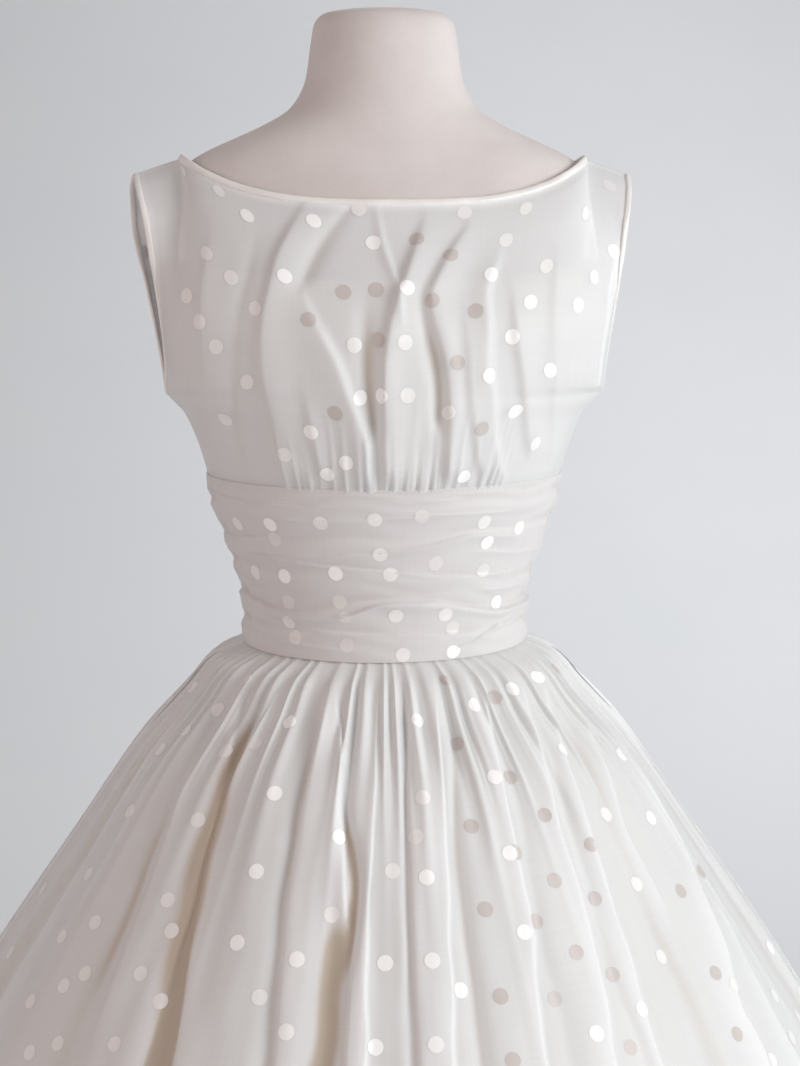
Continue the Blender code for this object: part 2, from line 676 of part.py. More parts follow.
def skirt_relief(angles, z):
    """How far the cloth lies inside its smooth section: fine gathers, then folds, then large folds."""
    rows = np.array(SKIRT_ROWS)[::-1]
    gather, fold = (through(rows[:, 0], rows[:, k], z)[:, None] for k in (4, 5))
    drop = ((WAIST_Z - z) / (WAIST_Z - HEM_Z))[:, None]
    turns = angles[None, :] + 0.030 * np.sin(5 * angles) + 0.020 * np.sin(11 * angles + 1.0)
    uneven = 0.75 + 0.30 * np.sin(4 * angles + 0.7) + 0.25 * np.sin(9 * angles + 2.0)
    wave = gather * (np.cos(SKIRT_GATHERS * turns) - 1)
    wave = wave + fold * uneven * (np.cos(SKIRT_FOLDS * turns + 0.6) - 1) / 2
    for large in SKIRT_FOLD_LIST:
        line = np.radians(large.top_deg + (large.hem_deg - large.top_deg) * smooth(drop / 0.30))
        away = (angles[None, :] - line + np.pi) % (2 * np.pi) - np.pi
        growth = smooth((drop - 0.02) / 0.25) * (0.6 + 0.4 * drop)
        bump = np.exp(-(away / np.radians(large.width_deg)) ** 2)
        wave = wave + large.height * growth * bump
    return wave


def skirt_grid(angles, seam_axes):
    """A panel between two seams; seam_axes are the level axes that its first and last seam face."""
    z = np.array([row.z for row in SKIRT_ROWS])
    z[0] -= SEAM_GAP
    base = skirt_section(angles, z)
    direction = skirt_directions(base)
    for column, axis in zip((0, -1), seam_axes):
        keep_level(direction, np.s_[:, column], axis)
    outer = base + direction * skirt_relief(angles, z)[..., None]
    return outer, outer - direction * CLOTH_WALL


def build_skirt(cloth, plain):
    """Three gathered panels, and the slip inside them."""
    right, behind = np.pi / 2, np.pi
    half = SKIRT_GATHERS // 2 * COLUMNS_PER_GATHER
    for name, start, end, columns, seam_axes in (
            ("skirt_front", -right, right, half, (1, 1)),
            ("skirt_back_right", right, behind, half // 2, (1, 0)),
            ("skirt_back_left", -behind, -right, half // 2, (0, 1))):
        angles = seam_angles(start, end, columns, SKIRT_ROWS[0].radius * 0.75)
        outer, inner = skirt_grid(angles, seam_axes)
        add_wall(name, outer, inner, cloth)

    angles = np.linspace(-np.pi, np.pi, LINING_COLUMNS, endpoint=False)
    z = np.array([row[0] for row in LINING_ROWS])
    z[0] -= SEAM_GAP
    inset = np.array([row[1] for row in LINING_ROWS])[:, None]
    outer = skirt_section(angles, z, inset)
    inner = skirt_section(angles, z, inset + LINING_WALL)
    add_wall("skirt_lining", outer, inner, plain, closed=True)


# ---------------------------------------------------------------- the dress form and its stand
def build_form(cover, metal):
    angle = np.linspace(0.0, 2 * np.pi, FORM_SIDES, endpoint=False)
    rings = []
    for ring in FORM_RINGS:
        x, y = oval(angle, ring.half_width, ring.front, ring.back)
        rings.append(np.stack([x, y, np.full_like(x, ring.z)], axis=-1))
    add_loft("form_torso", np.array(rings), cover)

    hub_radius, hub_height = BASE_HUB
    add_turned("form_base", (
        (BASE_RADIUS - BASE_BEVEL, 0.0), (BASE_RADIUS, BASE_BEVEL), (BASE_RADIUS, BASE_HEIGHT - BASE_BEVEL),
        (BASE_RADIUS - BASE_BEVEL, BASE_HEIGHT), (hub_radius, BASE_HEIGHT),
        (hub_radius - BASE_BEVEL, BASE_HEIGHT + hub_height)), 36, metal)

    collar_radius, collar_height = POLE_COLLAR
    foot = BASE_HEIGHT + hub_height + SEAM_GAP
    top = FORM_RINGS[0].z - SEAM_GAP
    add_turned("form_pole", (
        (POLE_RADIUS, foot), (POLE_RADIUS, top - collar_height - 0.012), (collar_radius, top - collar_height),
        (collar_radius, top)), 20, metal)


def main():
    for leftover in list(bpy.data.objects):
        bpy.data.objects.remove(leftover)
    sheer = material("sheer_dotted_cloth", (0.72, 0.69, 0.65), 0.6)
    satin = material("binding_satin", (0.84, 0.80, 0.76), 0.4)
    plain = material("lining_cloth", (0.76, 0.72, 0.67), 0.7)
    cover = material("form_cover", (0.82, 0.78, 0.76), 0.8)
    painted = material("stand_enamel", (0.62, 0.60, 0.58), 0.45)

    front = build_bodice_front(sheer)
    back = build_bodice_back(1.0, "bodice_back_right", sheer)
    build_bodice_back(-1.0, "bodice_back_left", sheer)
    build_bodice_lining("bodice_lining_front", FRONT_SIDE, FRONT_MIDDLE, FRONT_LINING_INSET, plain)
    build_bodice_lining("bodice_lining_back", BACK_SIDE, BACK_MIDDLE, BACK_LINING_INSET, plain)
    build_bindings(front, back, satin)
    build_placket(sheer)
    build_band(sheer)
    build_skirt(sheer, plain)
    build_form(cover, painted)


main()
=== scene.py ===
"""A sleeveless, full-skirted wedding dress of sheer dotted cloth, standing on a limbless dress form.

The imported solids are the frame. Each class below builds one sub-assembly on their form, as thin cloth
on grids far finer than the solids', with the creases that the photograph shows.

Metres, +Z up. The dress faces -Y, and +X is to the right of someone who looks at its front. Rows of
a grid run up the cloth and columns run across it, towards +X at the front, so faces point outwards.
"""
from __future__ import annotations

import logging
from dataclasses import dataclass
from enum import Enum
from typing import Any, ClassVar, NamedTuple

import bpy
import numpy as np
from numpy.typing import NDArray
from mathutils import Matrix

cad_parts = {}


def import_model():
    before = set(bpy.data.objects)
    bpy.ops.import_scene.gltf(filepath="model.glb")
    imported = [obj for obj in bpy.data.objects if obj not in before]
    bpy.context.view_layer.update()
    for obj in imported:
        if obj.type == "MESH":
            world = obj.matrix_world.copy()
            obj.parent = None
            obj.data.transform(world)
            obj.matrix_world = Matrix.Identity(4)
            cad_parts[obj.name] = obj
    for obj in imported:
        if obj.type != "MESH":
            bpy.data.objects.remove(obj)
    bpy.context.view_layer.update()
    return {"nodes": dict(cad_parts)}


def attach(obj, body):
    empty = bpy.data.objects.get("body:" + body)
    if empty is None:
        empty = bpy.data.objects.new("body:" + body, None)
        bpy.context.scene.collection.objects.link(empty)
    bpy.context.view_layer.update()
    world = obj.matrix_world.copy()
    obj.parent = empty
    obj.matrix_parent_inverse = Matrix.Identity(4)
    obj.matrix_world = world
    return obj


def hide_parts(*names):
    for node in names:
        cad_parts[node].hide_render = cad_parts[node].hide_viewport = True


log = logging.getLogger("wedding_dress")
Array = NDArray[np.float64]
Material = bpy.types.Material
Piece = bpy.types.Object

WAIST_Z = 1.040
BAND_TOP_Z = 1.174
HEM_Z = 0.340
SEAM_GAP = 0.0003
CLOTH_WALL = 0.0020
MILLIMETRE = 0.001
LAP_PAST = 0.0030           # a seam allowance runs this far on behind the next panel
LAP_BEHIND = 0.0020         # and this far inside it
TUCK_BEHIND = 0.003         # a turned-in edge lies this far inside its neighbour
TUCK_DOWN = 0.004           # and this far past the seam
FULL_FOLD = 0.008           # relief that counts as one whole fold of painted shade in the cloth's colour
FOLD_LIMIT = 1.5


# ---------------------------------------------------------------- curves and grids
def through(stations: Any, values: Any, at: Array) -> Array:
    """Smooth curve through a table: a cubic between stations whose slopes never overshoot.

    Args:
        stations: rising places of the table.
        values: what the curve is worth at each.
        at: places to read the curve at, held to the table's ends.

    Returns:
        The curve at those places.
    """
    x, y = np.asarray(stations, float), np.asarray(values, float)
    at = np.clip(at, x[0], x[-1])
    step = np.diff(x)
    slope = np.diff(y) / step
    product = slope[:-1] * slope[1:]
    total = np.where(product > 0, slope[:-1] + slope[1:], 1.0)
    tangent = np.concatenate([slope[:1], np.where(product > 0, 2 * product / total, 0.0), slope[-1:]])
    k = np.clip(np.searchsorted(x, at, side="right") - 1, 0, len(x) - 2)
    u = (at - x[k]) / step[k]
    rise = y[k + 1] - y[k]
    start, end = tangent[k] * step[k], tangent[k + 1] * step[k]
    return y[k] + u * start + u**2 * (3 * rise - 2 * start - end) + u**3 * (start + end - 2 * rise)


def smooth(u: Any) -> Array:
    """0 below 0, 1 above 1, and an even S between them."""
    u = np.clip(u, 0.0, 1.0)
    return u * u * (3 - 2 * u)


def unit(vectors: Array) -> Array:
    """Each vector at length 1."""
    return vectors / np.linalg.norm(vectors, axis=-1, keepdims=True)


def outward(base: Array) -> Array:
    """The surface's own direction at each grid point, away from the middle of the body."""
    normal = unit(np.cross(np.gradient(base, axis=1), np.gradient(base, axis=0)))
    return normal * np.sign((normal[..., :2] * base[..., :2]).sum())


def keep_level(direction: Array, where: Any, axis: int) -> None:
    """Turn the directions along a seam into the seam's own plane."""
    kept = direction[where].copy()
    kept[..., axis] = 0.0
    direction[where] = unit(kept)


def oval(angle: Array, half_width: Any, front: Any, back: Any) -> tuple[Array, Array]:
    """A level section's x and y: sine across, cosine deep; the angle is 0 at the front, + towards +X."""
    return half_width * np.sin(angle), -np.where(np.cos(angle) > 0, front, back) * np.cos(angle)


def wander(at: Array, seed: int, waves: int = 5) -> Array:
    """A soft uneven line between about -1 and 1: a sum of sines whose turns and starts come from a seed."""
    rng = np.random.default_rng(seed)
    turns, starts = rng.uniform(0.6, 3.4, waves), rng.uniform(0, 2 * np.pi, waves)
    return np.sin(at[..., None] * turns + starts).sum(axis=-1) / np.sqrt(waves * 2)


BELL_POWER = 1.7            # a crease's cross section is exp(-|away / width| ** power)
LINE_WANDER = 0.12          # how far its line strays, as a share of its width
WIDTH_WANDER = 0.18         # how much its width varies along it
END_RISE = 0.3              # how far into the S of its fade it already is where its own line ends


class Crease(NamedTuple):
    """One soft ridge (+) or trough (-): its line from the bottom up, its half width, height and lean."""
    path: tuple[tuple[float, float], ...]    # place across the cloth, height above the floor
    width: float
    height: float
    lean: float = 1.0    # how many times wider it is on the side towards +


def crease_relief(creases: tuple[Crease, ...], place: Array, z: Array, fades: tuple[float, float],
                  turn: float = 0.0) -> Array:
    """Height of all creases: a bell across each line, uneven along it, fading out at both ends.

    Args:
        creases: the creases of one sheet.
        place: how far across each grid point lies, in the creases' own unit.
        z: its height.
        fades: the lengths over which the lower and the upper ends die away.
        turn: how far a full turn is in that unit, for cloth that closes round the body, else 0.

    Returns:
        How far out each grid point is pushed, in metres.
    """
    total = np.zeros(np.broadcast(place, z).shape)
    for number, crease in enumerate(creases):
        places, heights = (np.array(part) for part in zip(*crease.path))
        line = through(heights, places, z) + LINE_WANDER * crease.width * wander(z * 40, number)
        alive = (smooth((z - heights[0]) / fades[0] + END_RISE)
                 * smooth((heights[-1] - z) / fades[1] + END_RISE))
        away = place - line
        if turn:
            away = (away + turn / 2) % turn - turn / 2
        uneven = 1 + WIDTH_WANDER * wander(z * 25, number + 90)
        width = crease.width * np.where(away > 0, crease.lean, 1.0) * uneven
        total = total + crease.height * alive * np.exp(-np.abs(away / width) ** BELL_POWER)
    return total


def mirrored(angle: Array, half_turn: float) -> Array:
    """The angle of the same place seen from the front: past the sides, angles count back again."""
    return np.where(np.abs(angle) > half_turn / 2, np.sign(angle) * half_turn - angle, angle)


def tuck(points: Array, relief: Array, row: int, down: float) -> tuple[Array, Array]:
    """Add a turned-in row past the first (row 0) or last (row -1) row of a sheet, behind its neighbour."""
    edge = points[row]
    level = edge * np.array([1.0, 1.0, 0.0])
    turned = edge - unit(level) * TUCK_BEHIND - np.array([0.0, 0.0, down])
    if row == 0:
        return np.concatenate([turned[None], points]), np.concatenate([relief[:1], relief])
    return np.concatenate([points, turned[None]]), np.concatenate([relief, relief[-1:]])


@dataclass
class Sheet:
    """Cloth as a grid of points, with how deep each point's fold is, scaled for the painted shade in its
    colour, and how dense it looks.
    """
    points: Array
    relief: Array
    closed: bool = False
    dense: Array | None = None

    def facing_out(self) -> "Sheet":
        """The same sheet with its columns turned, if need be, so that its faces point outwards."""
        normal = self.normals()
        if (normal[..., :2] * self.points[..., :2]).sum() >= 0:
            return self
        dense = None if self.dense is None else self.dense[:, ::-1]
        return Sheet(self.points[:, ::-1], self.relief[:, ::-1], self.closed, dense)

    def lapped(self, first: bool, last: bool) -> "Sheet":
        """The same sheet with a column past its first or last one, which runs on behind the next panel."""
        points, relief, dense = self.points, self.relief, self.dense
        normal = self.normals()
        for wanted, edge, inner in ((first, 0, 1), (last, -1, -2)):
            if not wanted:
                continue
            past = unit(self.points[:, edge] - self.points[:, inner]) * LAP_PAST
            column = (self.points[:, edge] + past - normal[:, edge] * LAP_BEHIND)[:, None]
            parts = [column, points] if edge == 0 else [points, column]
            points = np.concatenate(parts, axis=1)
            relief, dense = (None if grid is None else np.concatenate(
                [grid[:, :1], grid] if edge == 0 else [grid, grid[:, -1:]], axis=1) for grid in (relief, dense))
        return Sheet(points, relief, self.closed, dense)

    def normals(self) -> Array:
        """Unit normals: the way across the cloth crossed with the way up it."""
        return unit(np.cross(np.gradient(self.points, axis=1), np.gradient(self.points, axis=0)))

    def lengths(self) -> tuple[Array, Array]:
        """Length along the cloth, across each row and up each column, from its first point."""
        across = np.linalg.norm(np.diff(self.points, axis=1), axis=-1)
        up = np.linalg.norm(np.diff(self.points, axis=0), axis=-1)
        rows, columns = self.relief.shape
        return (np.concatenate([np.zeros((rows, 1)), np.cumsum(across, axis=1)], axis=1),
                np.concatenate([np.zeros((1, columns)), np.cumsum(up, axis=0)], axis=0))

    def at(self, row: Array, column: Array, grid: Array) -> Array:
        """Read a grid of values between its points, evenly blended from the four around each place."""
        rows, columns = self.relief.shape
        r0 = np.clip(np.floor(row).astype(int), 0, rows - 2)
        c0 = np.clip(np.floor(column).astype(int), 0, columns - 2)
        v, u = (row - r0)[..., None], (column - c0)[..., None]
        low = grid[r0, c0] * (1 - u) + grid[r0, c0 + 1] * u
        high = grid[r0 + 1, c0] * (1 - u) + grid[r0 + 1, c0 + 1] * u
        return low * (1 - v) + high * v


def mesh_piece(name: str, points: Array, faces: Array, finish: Material) -> Piece:
    """A mesh object at the origin from points and faces of four corners.

    Args:
        name: the piece's name.
        points: its points, one a row.
        faces: four point numbers a face.
        finish: its material.

    Returns:
        The new object, linked to the scene.
    """
    mesh = bpy.data.meshes.new(name)
    mesh.from_pydata(points.reshape(-1, 3).tolist(), [], faces.reshape(-1, faces.shape[-1]).tolist())
    mesh.shade_smooth()
    mesh.materials.append(finish)
    made = bpy.data.objects.new(name, mesh)
    bpy.context.scene.collection.objects.link(made)
    return made


def grid_faces(rows: int, columns: int, closed: bool = False) -> Array:
    """Corner numbers of a grid's faces: right along a row, then up; a closed grid joins its ends."""
    index = np.arange(rows * columns).reshape(rows, columns)
    if closed:
        index = np.concatenate([index, index[:, :1]], axis=1)
    return np.stack([index[:-1, :-1], index[:-1, 1:], index[1:, 1:], index[1:, :-1]], axis=-1).reshape(-1, 4)


def end_caps(corners: int, last: int) -> Array:
    """Faces that fill a tube's two ends straight across: its first ring, and the one that starts at last."""
    k = np.arange(corners // 2 - 1)
    cap = np.stack([k, k + 1, corners - 2 - k, corners - 1 - k], axis=-1)
    return np.concatenate([cap[:, ::-1], cap + last])


def give_values(piece: Piece, name: str, values: Array) -> None:
    """Store one number a point on a mesh, for its material to read."""
    piece.data.attributes.new(name, "FLOAT", "POINT").data.foreach_set("value", values.ravel())


def sheet_piece(name: str, sheet: Sheet, finish: Material, dense: Array | None = None) -> Piece:
    """A mesh of a sheet. Its UV map is in metres along the cloth, and two attributes go with it.

    Args:
        name: the piece's name.
        sheet: the cloth.
        finish: its material.
        dense: how many thicknesses of cloth lie at each point, past the first.

    Returns:
        The new object.
    """
    rows, columns = sheet.relief.shape
    faces = grid_faces(rows, columns, sheet.closed)
    piece = mesh_piece(name, sheet.points, faces, finish)
    points = sheet.points if not sheet.closed else np.concatenate([sheet.points, sheet.points[:, :1]], axis=1)
    across, up = Sheet(points, points[..., 0]).lengths()
    middle = across.mean(axis=0)[None, :] * np.ones((rows, 1))
    uv = np.stack([middle, up], axis=-1).reshape(-1, 2)
    corners = grid_faces(rows, points.shape[1])
    piece.data.uv_layers.new(name="cloth").data.foreach_set("uv", uv[corners.ravel()].ravel())
    # painted shade: deeper folds are coloured darker and warmer by the cloth's material
    give_values(piece, "painted_fold_shade", np.clip(sheet.relief / FULL_FOLD, -FOLD_LIMIT, FOLD_LIMIT))
    give_values(piece, "cloth_layers", np.zeros_like(sheet.relief) if dense is None else dense)
    return piece


def join_strips(name: str, strips: list[tuple[Array, Array]], finish: Material) -> Piece:
    """One mesh from several: each strip is its points and its faces."""
    starts = np.cumsum([0] + [len(points) for points, _ in strips])
    points = np.concatenate([points for points, _ in strips])
    faces = np.concatenate([faces + start for (_, faces), start in zip(strips, starts)])
    return mesh_piece(name, points, faces, finish)


# ---------------------------------------------------------------- finishes
def linear(srgb: str) -> tuple[float, float, float, float]:
    """An sRGB hex colour as linear red, green, blue and 1."""
    parts = np.array([int(srgb[k:k + 2], 16) for k in (1, 3, 5)]) / 255.0
    light = np.where(parts <= 0.04045, parts / 12.92, ((parts + 0.055) / 1.055) ** 2.4)
    return (*light.tolist(), 1.0)


def add_node(tree: bpy.types.NodeTree, kind: str, inputs: dict[Any, Any] | None = None,
             **settings: Any) -> bpy.types.Node:
    """Add a node, set its properties, then give each named input a value or a link.

    Args:
        tree: the material's node tree.
        kind: the node's type, without its ShaderNode prefix.
        inputs: an input's name or number, and a value or the socket that feeds it.
        settings: the node's properties.

    Returns:
        The node.
    """
    made = tree.nodes.new("ShaderNode" + kind)
    for name, value in settings.items():
        setattr(made, name, value)
    feed(tree, made, inputs or {})
    return made


def feed(tree: bpy.types.NodeTree, node: bpy.types.Node, inputs: dict[Any, Any]) -> None:
    """Give each named input of a node its value, or a link from the socket that feeds it."""
    for name, value in inputs.items():
        if isinstance(value, bpy.types.NodeSocket):
            tree.links.new(value, node.inputs[name])
        else:
            node.inputs[name].default_value = value


def new_material(name: str) -> tuple[Material, bpy.types.NodeTree, bpy.types.Node]:
    """An empty procedural material: itself, its node tree and its Principled shader."""
    made = bpy.data.materials.new(name)
    made.use_nodes = True
    return made, made.node_tree, made.node_tree.nodes["Principled BSDF"]


@dataclass(frozen=True)
class SheerOrganza:
    """Silk organza: plain weave of fine twisted filament. Sheer where it lies single and denser where
    folds stack up, with painted shade that turns its colour darker and warmer in the fold troughs,
    a faint crisp sheen and fine uneven threads both ways."""
    name: str = "sheer_silk_organza"
    crest: str = "#eceded"
    # painted shade: the colour that the deepest fold troughs are mixed towards
    painted_valley_shade: str = "#cdbfae"
    veil: float = 0.80          # share of the light that one thickness stops
    fold_veil: float = 0.18     # more where the cloth is folded or doubled
    thread_mm: float = 1.4      # real threads are 0.2 mm apart, too fine to show, so drawn coarser
    slub_mm: float = 60.0       # length over which a thread's thickness changes

    def make(self) -> Material:
        """The material."""
        made, tree, shader = new_material(self.name)
        place = add_node(tree, "UVMap", uv_map="cloth").outputs["UV"]
        depth = add_node(tree, "Attribute", attribute_name="painted_fold_shade").outputs["Fac"]
        layers = add_node(tree, "Attribute", attribute_name="cloth_layers").outputs["Fac"]
        warp = add_node(tree, "Mapping", {"Vector": place, "Scale": (
            1 / (self.thread_mm * MILLIMETRE), 1 / (self.slub_mm * MILLIMETRE), 1)})
        weft = add_node(tree, "Mapping", {"Vector": place, "Scale": (
            1 / (self.slub_mm * MILLIMETRE), 1 / (self.thread_mm * MILLIMETRE), 1)})
        threads = [add_node(tree, "TexNoise", {"Vector": way.outputs[0], "Scale": 1.0, "Detail": 2.0})
                   .outputs["Fac"] for way in (warp, weft)]
        woven = add_node(tree, "Math", {0: threads[0], 1: threads[1]}, operation="ADD").outputs[0]
        # painted shade: the fold depth mixes the colour from the crest colour to the shaded valley colour
        shade = add_node(tree, "MapRange", {"Value": depth, "From Min": -1.4, "From Max": 0.2},
                         interpolation_type="SMOOTHSTEP").outputs[0]
        uneven = add_node(tree, "MapRange", {
            "Value": woven, "From Min": 0.7, "From Max": 1.3, "To Min": -0.03, "To Max": 0.03}).outputs[0]
        shade = add_node(tree, "Math", {0: shade, 1: uneven}, operation="ADD", use_clamp=True).outputs[0]
        colour = add_node(tree, "Mix", {0: shade, 6: linear(self.painted_valley_shade), 7: linear(self.crest)},
                          data_type="RGBA").outputs[2]
        thick = add_node(tree, "Math", {0: layers, 1: self.fold_veil, 2: self.veil},
                         operation="MULTIPLY_ADD").outputs[0]
        stops = add_node(tree, "Math", {0: uneven, 1: 0.35, 2: thick}, operation="MULTIPLY_ADD",
                         use_clamp=True).outputs[0]
        bump = add_node(tree, "Bump", {"Height": woven, "Strength": 0.03, "Distance": 0.0004})
        feed(tree, shader, {"Base Color": colour, "Alpha": stops, "Normal": bump.outputs[0],
                            "Roughness": 0.55, "Sheen Weight": 0.25, "Sheen Roughness": 0.45,
                            "Specular IOR Level": 0.35})
        return made


@dataclass(frozen=True)
class SatinDots:
    """Dots woven in satin floats on the organza: opaque, smooth and lustrous. Their colour holds
    painted highlight and shade: white on dots charted as facing the light, pearl grey on those turned from it."""
    name: str = "satin_woven_dots"
    bright: str = "#fefefd"
    dull: str = "#cbc3be"
    thread_mm: float = 1.0      # satin floats lie 0.15 mm apart, drawn coarser to show at all

    def make(self) -> Material:
        """The material."""
        made, tree, shader = new_material(self.name)
        place = add_node(tree, "TexCoord").outputs["Object"]
        # painted highlight and shade: each dot's charted tone mixes white and pearl grey
        tone = add_node(tree, "Attribute", attribute_name="dot_painted_sheen").outputs["Fac"]
        floats = add_node(tree, "TexNoise", {
            "Vector": add_node(tree, "Mapping", {"Vector": place, "Scale": (
                1 / (self.thread_mm * MILLIMETRE), 1 / (self.thread_mm * MILLIMETRE), 40)}).outputs[0],
            "Scale": 1.0, "Detail": 1.0}).outputs["Fac"]
        uneven = add_node(tree, "MapRange", {"Value": floats, "To Min": -0.08, "To Max": 0.08}).outputs[0]
        tone = add_node(tree, "Math", {0: tone, 1: uneven}, operation="ADD", use_clamp=True).outputs[0]
        colour = add_node(tree, "Mix", {0: tone, 6: linear(self.dull), 7: linear(self.bright)},
                          data_type="RGBA").outputs[2]
        bump = add_node(tree, "Bump", {"Height": floats, "Strength": 0.10, "Distance": 0.0002})
        feed(tree, shader, {"Base Color": colour, "Normal": bump.outputs[0], "Roughness": 0.38,
                            "Sheen Weight": 0.15})
        return made


@dataclass(frozen=True)
class SmoothCloth:
    """Plain-coloured woven cloth: fine threads both ways, a slow unevenness of colour, and a
    lustre set by its roughness, low for satin and high for lawn or jersey."""
    name: str
    light: str
    dark: str
    roughness: float
    sheen: float
    thread_mm: float
    patch_mm: float
    bump: float

    def make(self) -> Material:
        """The material."""
        made, tree, shader = new_material(self.name)
        place = add_node(tree, "TexCoord").outputs["Object"]
        patches = add_node(tree, "TexNoise", {"Vector": place, "Scale": 1 / (self.patch_mm * MILLIMETRE),
                                              "Detail": 3.0}).outputs["Fac"]
        threads = add_node(tree, "TexNoise", {"Vector": place, "Scale": 1 / (self.thread_mm * MILLIMETRE),
                                              "Detail": 2.0}).outputs["Fac"]
        both = add_node(tree, "Math", {0: threads, 1: 0.4, 2: patches}, operation="MULTIPLY_ADD").outputs[0]
        tone = add_node(tree, "MapRange", {"Value": both, "From Min": 0.45, "From Max": 0.95}).outputs[0]
        colour = add_node(tree, "Mix", {0: tone, 6: linear(self.dark), 7: linear(self.light)},
                          data_type="RGBA").outputs[2]
        bump = add_node(tree, "Bump", {"Height": threads, "Strength": self.bump, "Distance": 0.0004})
        feed(tree, shader, {"Base Color": colour, "Normal": bump.outputs[0],
                            "Roughness": self.roughness, "Sheen Weight": self.sheen})
        return made


@dataclass(frozen=True)
class StandEnamel:
    """Stove enamel on steel: an even off-white film with a soft gloss and a faint orange peel."""
    name: str = "off_white_stand_enamel"
    colour: str = "#d8d5d1"
    worn: str = "#c9c5c0"
    peel_mm: float = 4.0

    def make(self) -> Material:
        """The material."""
        made, tree, shader = new_material(self.name)
        place = add_node(tree, "TexCoord").outputs["Object"]
        peel = add_node(tree, "TexNoise", {"Vector": place, "Scale": 1 / (self.peel_mm * MILLIMETRE)})
        cloud = add_node(tree, "TexNoise", {"Vector": place, "Scale": 9.0, "Detail": 4.0})
        tone = add_node(tree, "MapRange", {"Value": cloud.outputs["Fac"], "From Min": 0.35,
                                           "From Max": 0.65}).outputs[0]
        colour = add_node(tree, "Mix", {0: tone, 6: linear(self.worn), 7: linear(self.colour)},
                          data_type="RGBA").outputs[2]
        rough = add_node(tree, "MapRange", {"Value": cloud.outputs["Fac"], "To Min": 0.32,
                                            "To Max": 0.48}).outputs[0]
        bump = add_node(tree, "Bump", {"Height": peel.outputs["Fac"], "Strength": 0.05,
                                       "Distance": 0.0003})
        feed(tree, shader, {"Base Color": colour, "Roughness": rough, "Normal": bump.outputs[0]})
        return made


@dataclass
class Wardrobe:
    """Every finish of the dress and its form, made once."""
    organza: Material
    folded_organza: Material
    dots: Material
    binding: Material
    lining: Material
    jersey: Material
    enamel: Material

    @classmethod
    def make(cls) -> "Wardrobe":
        """Make them all."""
        return cls(
            organza=SheerOrganza().make(),
            # painted shade: darker crest and valley colours than the organza's, besides its denser veil for the
            # doubled cloth
            folded_organza=SheerOrganza("shaded_folded_silk_organza", "#dcdad9", "#b9aca2", veil=0.97).make(),
            dots=SatinDots().make(),
            binding=SmoothCloth("ivory_satin_bias_binding", "#f7f5f3", "#ece8e4", roughness=0.36, sheen=0.2,
                                thread_mm=1.2, patch_mm=30, bump=0.10).make(),
            lining=SmoothCloth("ivory_lawn_lining", "#ece6dd", "#e2d9cd", roughness=0.75, sheen=0.1,
                               thread_mm=1.5, patch_mm=60, bump=0.08).make(),
            jersey=SmoothCloth("off_white_cotton_jersey", "#ddd6d3", "#d3cbc8", roughness=0.85, sheen=0.3,
                               thread_mm=1.6, patch_mm=45, bump=0.08).make(),
            enamel=StandEnamel().make())


# ---------------------------------------------------------------- the woven dots
class Tone(Enum):
    """How a dot meets the eye: its share of white, which paints highlight and shade of the satin's lustre into
    its colour, and how far it is out.
    """
    BRIGHT = (1.0, 0.00026)
    PALE = (0.70, 0.00020)
    GREY = (0.0, 0.00014)
    FAINT = (0.48, 0.00016)      # under one more thickness of the band's cloth
    GHOST = (0.75, -0.00035)     # on the cloth folded under, seen through the sheer one


Chart = dict[Tone, tuple[tuple[float, float], ...]]     # place across and height of each dot


@dataclass(frozen=True)
class DotMaker:
    """Round satin dots that follow the cloth. Each is a disc of rings in the cloth's own lengths."""
    radius: float = 0.0057
    corners: int = 18
    pitch: float = 0.064        # from a dot to the next one up the same column
    seam_clear: float = 0.008   # a dot's middle stays this far up from the lower edge
    full_room: float = 0.019    # dots on every column down to this spacing of the columns
    half_room: float = 0.0095   # on every second one down to this, then on one in four

    def disc(self) -> tuple[Array, Array]:
        """Offsets of a dot's points across and up, and its faces: a middle four-sided fan in rings."""
        turn = np.linspace(0, 2 * np.pi, self.corners, endpoint=False)
        rings = np.array((0.35, 0.72, 1.0)) * self.radius
        ring_points = np.stack([rings[:, None] * np.cos(turn), rings[:, None] * np.sin(turn)], axis=-1)
        offsets = np.concatenate([ring_points.reshape(-1, 2), [[0.0, 0.0]]])
        n = self.corners
        step = np.arange(n)
        after = (step + 1) % n
        walls = [np.stack([k * n + step, (k + 1) * n + step, (k + 1) * n + after, k * n + after], axis=-1)
                 for k in range(2)]
        pairs = step[::2]
        cap = np.stack([np.full(n // 2, 3 * n), pairs, (pairs + 1) % n, (pairs + 2) % n], axis=-1)
        return offsets, np.concatenate([*walls, cap])

    def build(self, name: str, sheet: Sheet, places: Array, finish: Material) -> Piece:
        """One mesh of all dots of a sheet.

        Args:
            name: the piece's name.
            sheet: the cloth that they are woven into.
            places: one dot a row: row and column of its middle on the grid, its share of white, and
                how far it is out.
            finish: the dots' material.

        Returns:
            The new object. A point lies at its distance along the cloth from the dot's middle, so a
            dot on the side of a fold is seen narrow, as a woven one is.
        """
        across, up = sheet.lengths()
        normals = sheet.normals()
        offsets, faces = self.disc()
        rows, columns = sheet.relief.shape
        strips = []
        for row, column, _, proud in places:
            near_row, near_column = int(round(row)), int(round(column))
            here_across = np.interp(column, np.arange(columns), across[near_row])
            here_up = np.interp(row, np.arange(rows), up[:, near_column])
            at_column = np.interp(here_across + offsets[:, 0], across[near_row], np.arange(columns))
            at_row = np.interp(here_up + offsets[:, 1], up[:, near_column], np.arange(rows))
            points = sheet.at(at_row, at_column, sheet.points)
            lift = unit(sheet.at(at_row, at_column, normals))
            strips.append((points + lift * proud, faces))
        piece = join_strips(name, strips, finish)
        # painted highlight and shade of each dot, from its tone
        give_values(piece, "dot_painted_sheen", np.repeat(places[:, 2], len(offsets)))
        return piece


